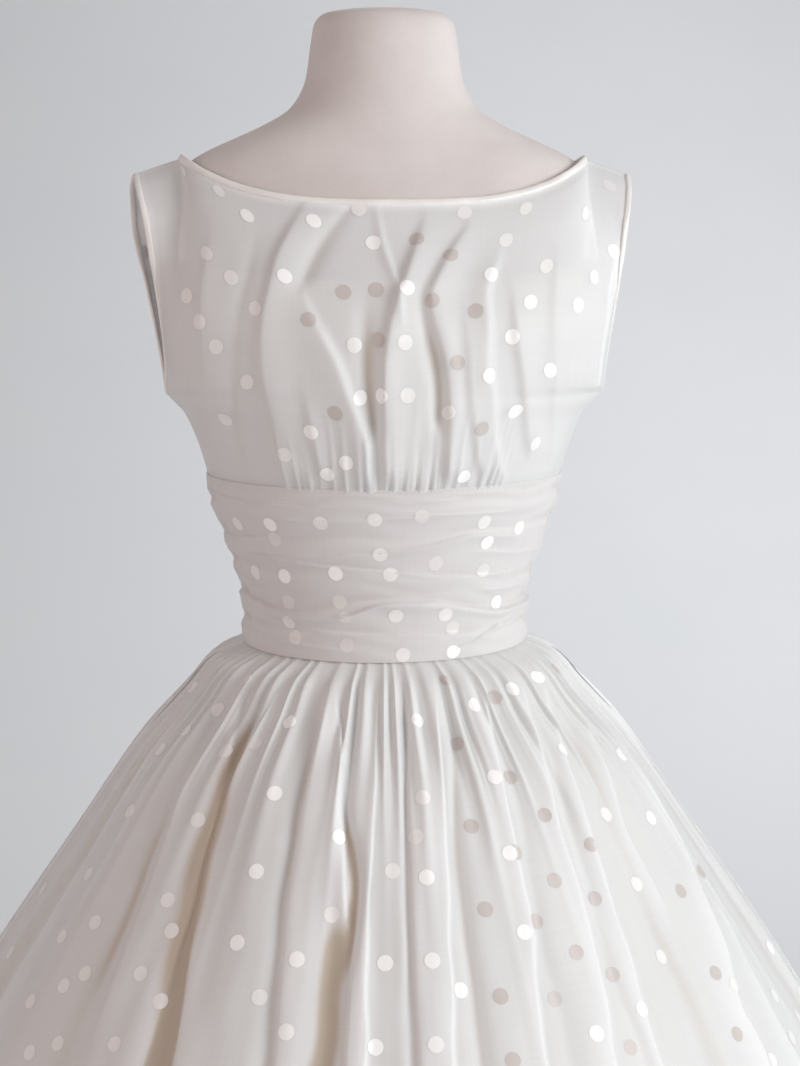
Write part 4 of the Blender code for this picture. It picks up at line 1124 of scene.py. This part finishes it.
    def sheet(self, start: float, end: float, columns: int, seed: int) -> Sheet:
        """A stretch of the band: the ridges and troughs blended smoothly up each column.

        Rows are even in height. At each column the named lines give heights and how far out they
        lie, and a smooth curve through them gives the relief, with finer pleats along them.
        """
        angles = np.linspace(start, end, columns)
        folded = mirrored(angles, np.pi)
        places = np.radians(self.places_deg)
        rings = np.array(self.RINGS)
        z = np.linspace(WAIST_Z, BAND_TOP_Z, self.rows)
        lines = np.array([through(places, line[:5], folded) for line in self.LINES])
        order = np.linspace(0, len(self.LINES) - 1, len(self.LINES))
        relief = np.zeros((self.rows, columns))
        rank = np.zeros((self.rows, columns))
        for column in range(columns):
            relief[:, column] = through(lines[:, column], [line.out for line in self.LINES], z)
            rank[:, column] = np.interp(z, lines[:, column], order)
        finer = 0.00025 * np.sin(rank * np.pi * 2 + 2.0 * wander(angles * 3, seed)[None, :])
        sides = np.exp(-((np.abs(folded) - np.pi / 2) / 0.35) ** 2)[None, :]
        bunch = 0.0011 * sides * np.sin(rank * np.pi + 2.5 * wander(angles * 9, seed + 1)[None, :])
        ends = smooth((z - WAIST_Z) / 0.004) * smooth((BAND_TOP_Z - z) / 0.004)
        relief = relief + (finer + bunch + self.pleats(np.degrees(angles), z)) * ends[:, None]
        half_width, front, back = (through(rings[:, 0], rings[:, k], z)[:, None] for k in (1, 2, 3))
        x, y = oval(angles[None, :], half_width, front, back)
        level = unit(np.stack([x / half_width**2, y / np.where(y < 0, front, back) ** 2], axis=-1))
        base = np.stack([x, y, np.broadcast_to(z[:, None], x.shape)], axis=-1)
        push = np.concatenate([level, np.zeros((*x.shape, 1))], axis=-1)
        # painted shade: the band's troughs are coloured darker, from their relief
        shade = relief * self.shade_gain + self.shade_base
        points, shade = tuck(base + push * relief[..., None], shade, 0, 0.0)
        return Sheet(*tuck(points, shade, -1, 0.0))

    def pleats(self, degrees: Array, z: Array) -> Array:
        """Pleat edges that run round the band: steep just above each line, dying slowly away below it.

        Behind the side seams the front's pleats run on as their mirror image.
        """
        folded = mirrored(degrees, 180.0)
        total = np.zeros((len(z), len(degrees)))
        for number, pleat in enumerate(self.PLEATS):
            places, heights = (np.array(part, float) for part in zip(*pleat.path))
            line = through(places, heights, folded) + 0.0004 * wander(folded * 0.2, number)
            alive = smooth((folded - places[0] + 3) / 9) * smooth((places[-1] - folded + 3) / 9)
            away = z[:, None] - line[None, :]
            width = pleat.width * np.where(away > 0, pleat.lean, 1.0)
            total += pleat.height * alive[None, :] * np.exp(-np.abs(away / width) ** BELL_POWER)
        return total

    def build(self, wardrobe: Wardrobe) -> None:
        """Build the three lengths of the band, with their dots."""
        right, behind = np.pi / 2, np.pi
        gap = SEAM_GAP / self.mean_width
        dots = DotMaker()
        for name, start, end, columns in (
                ("cummerbund_front", -right, right, self.front_columns),
                ("cummerbund_back_right", right, behind, self.front_columns // 2),
                ("cummerbund_back_left", -behind, -right, self.front_columns // 2)):
            sheet = self.sheet(start + gap, end - gap, columns, 31)
            sheet = sheet.lapped("back" in name, name.endswith("left"))
            across, _ = sheet.lengths()
            if name == "cummerbund_front":
                degrees = np.degrees(np.linspace(start + gap, end - gap, columns))[None, :] + 0 * sheet.relief
                places = charted(sheet, degrees, self.DOTS, self.degrees_per_metre)
            else:
                spots = np.linspace(8, columns - 9, 6)
                places = lattice(sheet, dots, spots, WAIST_Z + 0.008, BAND_TOP_Z - 0.008, Tone.PALE, 9)
            cloth = dotted_panel(name, sheet, np.zeros_like(sheet.relief), places,
                                 wardrobe.folded_organza, wardrobe.dots)
            wide = float(across[:, -1].mean())
            cut(cloth, (round(wide, 2), 0.17), 1.0)


# ---------------------------------------------------------------- the skirt
class SkirtRow(NamedTuple):
    """A level row of the skirt: its section, and the height of the gathers and folds there."""
    z: float
    radius: float
    front_ratio: float
    back_ratio: float
    gather: float
    fold: float


@dataclass(frozen=True)
class Skirt:
    """Three full panels gathered into the waist seam, and the plain slip inside them."""
    gathers: int = 64
    folds: int = 32
    rows: int = 118
    front_columns: int = 800
    shade_base: float = 0.007
    charted_from_z: float = 0.765       # the chart covers the front above this, the repeat the rest
    degrees_per_metre: float = 100.0    # for finding the grid point nearest a dot
    hem_turn: float = 0.018             # the hem is turned up this far
    side_allowance: float = 0.008
    lap_cover: float = 0.004            # a lapped edge this high counts as one more thickness

    ROWS = (
        SkirtRow(WAIST_Z, 0.1125, 0.820, 0.765, 0.0016, 0.000),
        SkirtRow(1.029, 0.1385, 0.850, 0.815, 0.0028, 0.000),
        SkirtRow(1.006, 0.1590, 0.865, 0.850, 0.0030, 0.001),
        SkirtRow(0.965, 0.1965, 0.885, 0.885, 0.0014, 0.0020),
        SkirtRow(0.900, 0.2420, 0.905, 0.905, 0.0004, 0.0040),
        SkirtRow(0.700, 0.3720, 0.930, 0.930, 0.0000, 0.0080),
        SkirtRow(HEM_Z, 0.5320, 0.935, 0.935, 0.0000, 0.0130))
    FOLDS = (   # broad folds; place is degrees round the body, 0 at the front and + towards +X
        Crease(((-78, 0.34), (-77, 0.80), (-76, 1.03)), 6.0, -0.006),
        Crease(((-64, 0.34), (-62, 0.80), (-66, 0.99)), 5.5, 0.004),
        Crease(((-49, 0.34), (-51, 0.85), (-57, 0.95)), 4.0, -0.005),
        Crease(((-31.5, 0.34), (-34.5, 0.80), (-38, 0.88), (-41, 0.95), (-43, 1.0), (-45, 1.03)),
               3.8, -0.015, 0.9),
        Crease(((-25, 0.34), (-26.5, 0.85), (-30, 1.02)), 4.5, 0.007),
        Crease(((-17, 0.34), (-19.6, 0.80), (-21.8, 0.914), (-22.2, 1.0), (-25, 1.035)), 1.6, -0.008),
        Crease(((-16, 0.80), (-16.5, 0.92), (-15, 1.02)), 3.0, 0.005),
        Crease(((-11.5, 0.34), (-12.4, 0.80), (-12.3, 0.90)), 2.8, -0.013),
        Crease(((-9.3, 0.86), (-9.2, 0.903), (-10.5, 0.93), (-12.9, 0.965)), 1.4, -0.012),
        Crease(((-7.4, 0.34), (-7.6, 0.85), (-6.7, 1.0)), 2.0, 0.005),
        Crease(((-0.5, 0.34), (-0.6, 0.86), (0.0, 0.95), (2.4, 1.035)), 0.9, -0.006),
        Crease(((2.2, 0.34), (2.6, 0.85), (5.0, 1.02)), 2.6, 0.005),
        Crease(((8.0, 0.34), (8.4, 0.83), (9.3, 0.93), (15.5, 1.02)), 1.5, -0.007),
        Crease(((13.0, 0.34), (14.0, 0.85), (19.0, 1.01)), 3.0, 0.005),
        Crease(((19.5, 0.34), (20.5, 0.84), (24.5, 0.96), (30, 1.03)), 2.0, -0.004),
        Crease(((30.0, 0.34), (31.0, 0.82), (34.0, 0.92), (40, 1.0)), 1.8, -0.005),
        Crease(((41, 0.34), (43, 0.80), (48, 0.95), (56, 1.02)), 4.5, -0.006),
        Crease(((56, 0.34), (60, 0.85), (70, 1.02)), 6.0, 0.005),
        Crease(((70, 0.34), (74, 0.85), (80, 1.03)), 5.0, -0.006),
        Crease(((108, 0.34), (107, 0.80), (104, 1.03)), 6.0, 0.006),
        Crease(((129, 0.34), (128.5, 0.80), (126, 1.03)), 3.4, -0.0070, 0.8),
        Crease(((148, 0.34), (147.5, 0.80), (147, 1.03)), 5.0, 0.007),
        Crease(((165, 0.34), (165.5, 0.80), (166, 1.03)), 4.0, -0.0060, 1.2),
        Crease(((190, 0.34), (189.5, 0.80), (188, 1.03)), 5.0, 0.006),
        Crease(((206, 0.34), (205, 0.80), (203, 1.03)), 3.2, -0.0075, 1.2),
        Crease(((226, 0.34), (225, 0.80), (222, 1.03)), 5.0, 0.007),
        Crease(((247, 0.34), (246, 0.80), (244, 1.03)), 5.0, -0.0060))
    EDGES = (   # where one fold lies over the next: steep on one side, dying slowly away on the other
        Crease(((-36, 0.34), (-37, 0.80), (-38, 0.856), (-40.8, 0.941), (-43, 0.975), (-47.7, 1.0),
                (-52, 1.02)), 3.0, 0.0045, 0.12),
        Crease(((-27, 0.34), (-31.9, 0.795), (-34.9, 0.851), (-37.9, 0.907), (-39.8, 0.963), (-39, 1.0),
                (-37.2, 1.037)), 0.36, 0.0055, 9.0),
        Crease(((-50, 0.82), (-53.2, 0.926), (-56.8, 0.983), (-61.6, 1.03)), 0.9, -0.004, 1.8),
        Crease(((-46, 0.80), (-47.8, 0.874), (-51.6, 0.95), (-55, 0.98)), 0.4, 0.0022, 5.0),
        Crease(((-16, 0.34), (-18.4, 0.803), (-20.6, 0.914), (-21, 1.0), (-24, 1.035)), 0.33, 0.0045, 8.0),
        Crease(((-9.6, 0.88), (-11.6, 0.916), (-13.1, 0.957), (-15.2, 1.0), (-17.6, 1.016), (-21, 1.033)),
               2.4, 0.0050, 0.12),
        Crease(((-8.6, 0.34), (-9.2, 0.80), (-8.8, 0.89)), 0.30, 0.0050, 7.0),
        Crease(((-6.2, 0.34), (-6.8, 0.80), (-7.1, 0.861), (-6.6, 0.94), (-6.0, 1.03)), 1.8, 0.0030, 0.15),
        Crease(((0.4, 0.34), (0.2, 0.86), (0.8, 0.95), (3.6, 1.036)), 0.28, 0.0035, 8.0),
        Crease(((4.0, 0.34), (4.4, 0.804), (5.5, 0.86), (6.6, 0.907), (7.5, 0.948), (9.2, 0.988), (11.8, 1.03)),
               2.2, 0.0042, 0.13),
        Crease(((16, 0.34), (16.8, 0.808), (18, 0.846), (19.7, 0.886), (21.2, 0.952), (23.9, 0.988),
                (27.5, 1.025)), 2.8, 0.0042, 0.12),
        Crease(((25, 0.34), (26.2, 0.79), (28.3, 0.831), (30.3, 0.893), (31.8, 0.94), (34.6, 0.967),
                (37.5, 0.994), (44, 1.034)), 3.0, 0.0042, 0.12),
        Crease(((32, 0.34), (33.4, 0.796), (35.1, 0.85), (37.4, 0.909), (41.3, 0.969), (47.8, 0.996),
                (54, 1.025)), 2.6, 0.0040, 0.13),
        Crease(((48, 0.86), (49.5, 0.92), (52.1, 0.949), (55.8, 0.975), (63, 1.0)), 3.0, 0.0030, 0.13),
        Crease(((50, 0.34), (52.8, 0.782), (57.1, 0.832), (62.4, 0.876), (64.7, 0.896), (66, 0.95)),
               3.5, 0.0042, 0.12),
        Crease(((58, 0.55), (60, 0.797), (62.5, 0.827), (66, 0.86)), 2.4, 0.0030, 0.15),
        Crease(((78, 0.34), (80, 0.80), (84, 1.0)), 3.0, 0.0035, 0.15),
        Crease(((-72, 0.34), (-71, 0.80), (-73, 1.0)), 0.5, 0.0030, 6.0),
        Crease(((99, 0.34), (100, 0.80), (97, 1.02)), 0.5, 0.0040, 7.0),
        Crease(((117, 0.34), (116, 0.80), (113, 1.03)), 3.0, 0.0040, 0.13),
        Crease(((134, 0.34), (133, 0.80), (131, 1.03)), 0.4, 0.0050, 8.0),
        Crease(((155, 0.34), (154, 0.80), (151, 1.02)), 3.2, 0.0040, 0.12),
        Crease(((170, 0.34), (170, 0.80), (171, 1.03)), 0.4, 0.0045, 8.0),
        Crease(((183, 0.34), (182, 0.80), (181, 1.0)), 2.6, 0.0035, 0.13),
        Crease(((200, 0.34), (199, 0.80), (197, 1.03)), 3.0, 0.0045, 0.12),
        Crease(((212, 0.34), (211, 0.80), (210, 1.02)), 0.4, 0.0045, 8.0),
        Crease(((236, 0.34), (235, 0.80), (231, 1.02)), 3.0, 0.0040, 0.13),
        Crease(((254, 0.34), (253, 0.80), (250, 1.03)), 0.4, 0.0045, 8.0))
    DOTS: ClassVar[Chart] = {   # place is degrees round the body
        Tone.BRIGHT: (
            (-30.3, 1.005), (-27.6, 0.961), (-27.3, 0.869), (-27.1, 0.914), (-17.4, 0.822), (-17.4, 0.868),
            (-12.7, 0.937), (-5.5, 0.818), (-4.2, 0.865), (2.4, 0.821), (2.8, 0.867), (3, 0.915),
            (4.8, 1.007), (18.1, 0.875), (19, 0.922), (20.4, 0.969), (22.4, 1.014), (24.9, 0.811),
            (33.6, 0.817), (37.5, 1.019), (42.9, 0.978), (51.9, 1.022), (58.2, 0.919), (76.6, 0.791),
            (87.0, 0.823)),
        Tone.PALE: (
            (-83.6, 0.844), (-81.3, 1.006), (-79.3, 0.801), (-68.3, 0.97), (-66, 0.88), (-64, 0.93),
            (-63.8, 0.986), (-62.9, 0.843), (-61.5, 0.801), (-58.2, 1.001), (-57, 0.857), (-56.6, 0.772),
            (-56.6, 0.815), (-53.9, 0.829), (-52.5, 0.786), (-52.1, 1.025), (-45.6, 0.981), (-44, 0.934),
            (-43.3, 0.883), (-42.6, 0.838), (-42.2, 0.796), (-40.4, 0.87), (-37.9, 0.986), (-37.7, 0.83),
            (-22.2, 0.841), (-12.9, 0.888), (-2.8, 0.915), (1.7, 0.936), (3.7, 0.962), (6.6, 0.845),
            (42, 0.837), (44.4, 0.882), (45.6, 0.929), (53.9, 0.806), (62.7, 0.961), (63.8, 0.779),
            (80.0, 0.985), (84, 0.932), (86, 0.875)),
        Tone.GREY: (
            (12.3, 0.803), (12.3, 0.844), (12.5, 0.894), (12.9, 0.94), (14.7, 0.988), (15.9, 1.03),
            (20.4, 0.833), (20.6, 0.923), (20.8, 0.879), (24.9, 0.967), (26, 0.857), (26.4, 0.901),
            (29.1, 0.944), (29.6, 0.796), (30.3, 1.015), (31.2, 0.838), (33.4, 0.883), (37, 0.917),
            (49.4, 0.777), (51.6, 0.819), (54.3, 0.869), (65.6, 0.87), (66.7, 1.023)),
        Tone.GHOST: (
            (-57.7, 0.915), (-57.5, 0.874), (-53.2, 0.885), (-48, 0.802), (-38.8, 0.963), (-37.7, 0.796),
            (-36.3, 0.937), (-35.7, 0.916), (-33.4, 0.869), (-31.4, 0.822), (-23.5, 0.934), (-13.2, 0.983),
            (57.5, 0.984))}
    LINING = ((WAIST_Z, 0.0070), (1.025, 0.0180), (0.960, 0.0300), (0.820, 0.0520), (0.600, 0.0700),
              (0.380, 0.0800))

    def section(self, angles: Array, z: Array, inset: Any = 0.0) -> Array:
        """The smooth section at each height: an oval whose radius and depths come from the rows."""
        rows = np.array(self.ROWS)[::-1]
        radius, front, back = (through(rows[:, 0], rows[:, k], z)[:, None] for k in (1, 2, 3))
        radius = radius - inset
        x, y = oval(angles[None, :], radius, radius * front, radius * back)
        return np.stack([x, y, np.broadcast_to(z[:, None], x.shape)], axis=-1)

    def directions(self, base: Array) -> Array:
        """Level at the waist seam, turning to the cloth's own slope a little below it."""
        own = outward(base)
        level = own.copy()
        level[..., 2] = 0.0
        turn = smooth((WAIST_Z - base[..., 2:]) / 0.04)
        return unit(unit(level) * (1 - turn) + own * turn)

    def relief(self, angles: Array, z: Array) -> tuple[Array, Array, Array]:
        """How far the cloth lies inside its smooth section, how deep its painted shade is, and where it
        doubles.

        Gathers are cosines whose turns wander and die away below the waist; the folds under them
        are wider and uneven. Over both come the broad folds and, steep on one side, the edges of
        the cloth that laps over itself.
        """
        rows = np.array(self.ROWS)[::-1]
        gather, fold = (through(rows[:, 0], rows[:, k], z)[:, None] for k in (4, 5))
        drop = ((WAIST_Z - z) / (WAIST_Z - HEM_Z))[:, None]
        turns = angles[None, :] + 0.030 * np.sin(5 * angles) + 0.020 * np.sin(11 * angles + 1.0)
        own = turns + 0.012 * np.sin(23 * angles) + 0.010 * np.sin(37 * angles + 2.0)
        uneven = 1 + 0.40 * wander(angles * 22, 12)[None, :] * smooth(drop / 0.02)
        gathered = gather * uneven * (np.cos(self.gathers * own + 0.35 * np.sin(self.gathers * own)) - 1)
        calm = np.clip(0.45 + 0.55 * wander(angles * 7, 14), 0.0, 1.4)[None, :]
        crest = (0.5 + 0.5 * np.cos(self.folds * own + 0.6 + 0.6 * np.sin(self.folds * own))) ** 0.8
        folded = -fold * calm * (1 - crest)
        degrees, height = np.degrees(angles)[None, :], z[:, None]
        broad = smooth((drop - 0.01) / 0.10) * crease_relief(self.FOLDS, degrees, height, (0.05, 0.05), 360.0)
        lapped = smooth((drop - 0.005) / 0.05) * crease_relief(self.EDGES, degrees, height, (0.04, 0.04), 360.0)
        puckers = 0.0009 * (0.7 + 0.5 * wander(angles * 26, 16))[None, :]
        finer = puckers * np.sin(170 * own + 3 * wander(angles * 9, 15)[None, :])
        finer = finer * smooth((drop - 0.01) / 0.03) * (1 - smooth((drop - 0.05) / 0.10))
        # painted shade: the deepest troughs are coloured darker and warmer far faster than they deepen
        deep = 1.1 * broad * (1 + 60 * np.abs(broad))
        shade = 0.6 * gathered + 0.5 * folded + deep + 1.2 * lapped + finer
        out = 0.68 * gathered + 0.34 * folded + 0.47 * broad + 0.47 * lapped + 0.5 * finer
        return out, shade, np.clip(lapped / self.lap_cover, 0, 1)

    def panel(self, angles: Array, seam_axes: tuple[int, int]) -> Sheet:
        """A panel between two seams; seam_axes are the level axes that its first and last seam face."""
        z = HEM_Z + (WAIST_Z - HEM_Z) * (1 - (1 - np.linspace(0, 1, self.rows)) ** 1.45)
        z[-1] -= SEAM_GAP
        z = z[::-1]
        base = self.section(angles, z)
        direction = self.directions(base)
        for column, axis in zip((0, -1), seam_axes):
            keep_level(direction, np.s_[:, column], axis)
        relief, shade, dense = self.relief(angles, z)
        points = base + direction * (relief - CLOTH_WALL / 2)[..., None]
        points, shade = tuck(points[::-1], shade[::-1] + self.shade_base, -1, -TUCK_DOWN)
        return Sheet(points, shade, dense=np.concatenate([dense[::-1], dense[:1]]))

    def build(self, wardrobe: Wardrobe) -> None:
        """Build the three panels with their dots, then the slip."""
        right, behind = np.pi / 2, np.pi
        gap = SEAM_GAP / 2 / (self.ROWS[0].radius * 0.75)
        dots = DotMaker()
        for name, start, end, columns, axes in (
                ("skirt_front", -right, right, self.front_columns, (1, 1)),
                ("skirt_back_right", right, behind, self.front_columns // 2, (1, 0)),
                ("skirt_back_left", -behind, -right, self.front_columns // 2, (0, 1))):
            sheet = self.panel(np.linspace(start + gap, end - gap, columns), axes)
            sheet = sheet.lapped("back" in name, name.endswith("left"))
            across, up = sheet.lengths()
            hem = 1.2 * (1 - smooth((up - self.hem_turn) / 0.001))
            side = np.minimum(across, across[:, -1:] - across)
            turned_in = 1.0 - smooth(side / self.side_allowance)
            dense = np.maximum(np.maximum(hem, turned_in), 0.8 * sheet.dense)
            wide = float(across[0, -1])
            spots = np.linspace(4, columns - 5, 46 if name == "skirt_front" else 23)
            if name == "skirt_front":
                degrees = np.degrees(np.linspace(start + gap, end - gap, columns))[None, :] + 0 * sheet.relief
                places = np.concatenate([
                    charted(sheet, degrees, self.DOTS, self.degrees_per_metre),
                    lattice(sheet, dots, spots, HEM_Z + 0.02, self.charted_from_z, Tone.PALE, 11)])
            else:
                places = lattice(sheet, dots, spots, HEM_Z + 0.02, WAIST_Z - 0.02, Tone.PALE, 11)
            cloth = dotted_panel(name, sheet, dense, places, wardrobe.organza, wardrobe.dots)
            long = float(up[-1].mean())
            cut(cloth, (round(wide, 2), round(long, 2)), 0.70)

        angles = np.linspace(-np.pi, np.pi, 200, endpoint=False)
        z = np.linspace(self.LINING[-1][0], WAIST_Z - SEAM_GAP, 70)
        table = np.array(self.LINING)[::-1]
        inset = through(table[:, 0], table[:, 1], z)[:, None]
        slip = Sheet(self.section(angles, z, inset), np.zeros((len(z), len(angles))), closed=True)
        piece = sheet_piece("skirt_lining_lawn", slip, wardrobe.lining)
        dress_piece(piece, "skirt_lining")
        cut(piece, (2.9, 0.78), 0.70)


# ---------------------------------------------------------------- the dress form
@dataclass(frozen=True)
class DressForm:
    """The limbless form under the dress, covered in jersey, on its pole and round base."""
    sides: int = 128
    rows: int = 150

    RINGS = (
        Ring(0.800, 0.150, 0.105, 0.115), Ring(0.803, 0.154, 0.108, 0.118),
        Ring(0.860, 0.163, 0.112, 0.123), Ring(0.930, 0.148, 0.103, 0.112),
        Ring(0.990, 0.120, 0.092, 0.093), Ring(1.040, 0.1020, 0.0815, 0.0755),
        Ring(1.075, 0.1045, 0.0835, 0.0765), Ring(1.120, 0.114, 0.088, 0.082),
        Ring(1.174, 0.129, 0.094, 0.091), Ring(1.222, 0.143, 0.103, 0.097),
        Ring(1.272, 0.152, 0.108, 0.101), Ring(1.325, 0.156, 0.098, 0.099),
        Ring(1.360, 0.160, 0.084, 0.087), Ring(1.386, 0.161, 0.0735, 0.0765),
        Ring(1.402, 0.1578, 0.0650, 0.070), Ring(1.412, 0.149, 0.0610, 0.064),
        Ring(1.421, 0.134, 0.0575, 0.060), Ring(1.430, 0.114, 0.054, 0.056),
        Ring(1.440, 0.092, 0.052, 0.053), Ring(1.453, 0.0715, 0.0515, 0.051),
        Ring(1.474, 0.0600, 0.051, 0.049), Ring(1.500, 0.0560, 0.050, 0.047),
        Ring(1.515, 0.0530, 0.047, 0.045), Ring(1.522, 0.0460, 0.041, 0.039),
        Ring(1.5245, 0.0340, 0.030, 0.029))

    def build(self, wardrobe: Wardrobe) -> None:
        """Build the smooth torso; the pole and base keep their solids with a finish."""
        angles = np.linspace(-np.pi, np.pi, self.sides, endpoint=False)
        rings = np.array(self.RINGS)
        stations = np.arange(len(rings), dtype=float)
        along = np.linspace(0, len(rings) - 1, self.rows)
        z, half_width, front, back = (through(stations, rings[:, k], along)[:, None] for k in range(4))
        x, y = oval(angles[None, :], half_width, front, back)
        points = np.stack([x, y, np.broadcast_to(z, x.shape)], axis=-1)
        middle_low, middle_high = points[0].mean(axis=0), points[-1].mean(axis=0)
        shrink = np.linspace(0.02, 0.98, 8)[:, None, None]
        bottom = middle_low + (points[0] - middle_low) * shrink
        top = middle_high + (points[-1] - middle_high) * shrink[::-1]
        points = np.concatenate([bottom, points, top])
        faces = np.concatenate([grid_faces(*points.shape[:2], closed=True),
                                end_caps(self.sides, (len(points) - 1) * self.sides)])
        piece = mesh_piece("form_torso_jersey", points, faces, wardrobe.jersey)
        dress_piece(piece, "form_torso")


# ---------------------------------------------------------------- frame and studio
def dress_piece(piece: Piece, node: str | None = None) -> None:
    """Let a piece ride on the one body, hide the solid it stands for, and log its face count."""
    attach(piece, "root")
    if node:
        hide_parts(node)
    log.info("built %s: %d faces", piece.name, len(piece.data.polygons))


def cloth_area(piece: Piece) -> float:
    """Area of a piece's faces in square metres."""
    areas = np.empty(len(piece.data.polygons))
    piece.data.polygons.foreach_get("area", areas)
    return float(areas.sum())


def cut(piece: Piece, flat: tuple[float, float], share: float) -> None:
    """Say what size a piece of cloth was cut to, and that its outline fills a share of that oblong."""
    log.info("%s: measured %.4f m2, cut %.4f m2", piece.name, cloth_area(piece), flat[0] * flat[1] * share)


class Lamp(NamedTuple):
    """A square soft light: its place, what it is turned towards, its side, power and colour."""
    name: str
    at: tuple[float, float, float]
    aim: tuple[float, float, float]
    size: float
    watts: float
    colour: tuple[float, float, float]


@dataclass(frozen=True)
class Studio:
    """Pale floor and backdrop, a large window light from the right, a weak fill, a light on the
    backdrop, and the camera."""
    lens_mm: float = 62.54
    camera_at: tuple[float, float, float] = (-0.1144, -1.4455, 1.374)
    camera_turn_deg: tuple[float, float, float] = (90 - 9.803, 0.0, -5.0)
    sweep_from: float = 1.6     # behind the dress, the floor rises in one wide curve to the wall
    sweep_radius: float = 4.8
    floor_reach: float = 9.0
    sensor_mm: float = 36.0
    sky: str = "#ede7e6"
    sky_strength: float = 0.40

    LAMPS = (
        Lamp("window_light", (2.6, -1.7, 1.85), (0.0, 0.0, 1.0), 2.0, 87.0, (0.98, 0.992, 1.0)),
        Lamp("room_fill", (-2.6, -1.7, 1.6), (0.0, 0.0, 1.0), 1.6, 21.0, (1.0, 0.77, 0.70)),
        Lamp("wall_light", (1.8, 1.8, 3.2), (0.2, 6.0, 1.5), 2.4, 75.0, (0.98, 0.99, 1.0)))

    def backdrop(self) -> None:
        """The floor and the wall as one sheet, curved between them: the photo's view shows no corner."""
        turn = np.linspace(0, np.pi / 2, 40)
        radius, reach = self.sweep_radius, self.floor_reach
        y = np.concatenate([[-reach], self.sweep_from + radius * np.sin(turn), [self.sweep_from + radius]])
        z = np.concatenate([[0.0], radius - radius * np.cos(turn), [reach]])
        x = np.array((-reach, reach))
        points = np.stack([np.broadcast_to(x, (len(y), 2)), np.broadcast_to(y[:, None], (len(y), 2)),
                           np.broadcast_to(z[:, None], (len(y), 2))], axis=-1)
        paper = SmoothCloth("pale_grey_studio_paper", "#e1e4e7", "#dee2e5", roughness=0.95, sheen=0.0,
                            thread_mm=3.0, patch_mm=400, bump=0.02).make()
        mesh_piece("studio_backdrop", points, grid_faces(len(y), 2), paper)

    def light(self, lamp: Lamp) -> None:
        """Hang one lamp, turned towards its aim."""
        glow = bpy.data.lights.new(lamp.name, "AREA")
        glow.energy, glow.size, glow.color = lamp.watts, lamp.size, lamp.colour
        made = bpy.data.objects.new(lamp.name, glow)
        made.location = lamp.at
        way = np.array(lamp.aim) - np.array(lamp.at)
        flat = float(np.hypot(way[0], way[1]))
        made.rotation_euler = (float(np.arctan2(flat, -way[2])), 0.0, float(np.arctan2(-way[0], way[1])))
        bpy.context.scene.collection.objects.link(made)

    def build(self) -> None:
        """Set the backdrop, the lights, the sky light and the camera."""
        self.backdrop()
        for lamp in self.LAMPS:
            self.light(lamp)
        world = bpy.data.worlds.new("pale_room")
        world.use_nodes = True
        feed(world.node_tree, world.node_tree.nodes["Background"],
             {"Color": linear(self.sky), "Strength": self.sky_strength})
        bpy.context.scene.world = world
        bpy.context.scene.view_settings.view_transform = "Standard"
        camera = bpy.data.cameras.new("photo_camera")
        camera.sensor_fit, camera.sensor_height, camera.lens = "VERTICAL", self.sensor_mm, self.lens_mm
        made = bpy.data.objects.new("photo_camera", camera)
        made.location = self.camera_at
        made.rotation_euler = tuple(np.radians(self.camera_turn_deg))
        bpy.context.scene.collection.objects.link(made)
        bpy.context.scene.camera = made


def main() -> None:
    """Load the frame, give the pole and base their finish, then build each sub-assembly in order and the
    studio.
    """
    logging.basicConfig(level=logging.INFO, format="%(name)s: %(message)s")
    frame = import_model()
    wardrobe = Wardrobe.make()
    DressForm().build(wardrobe)
    for node in ("form_pole", "form_base"):
        for slot in frame["nodes"][node].material_slots:
            slot.material = wardrobe.enamel
    bodice = Bodice()
    front, back = bodice.build(wardrobe)
    Bindings().build(front, back, bodice, wardrobe)
    Waistband().build(wardrobe)
    Skirt().build(wardrobe)
    Studio().build()


if __name__ == "__main__":
    main()
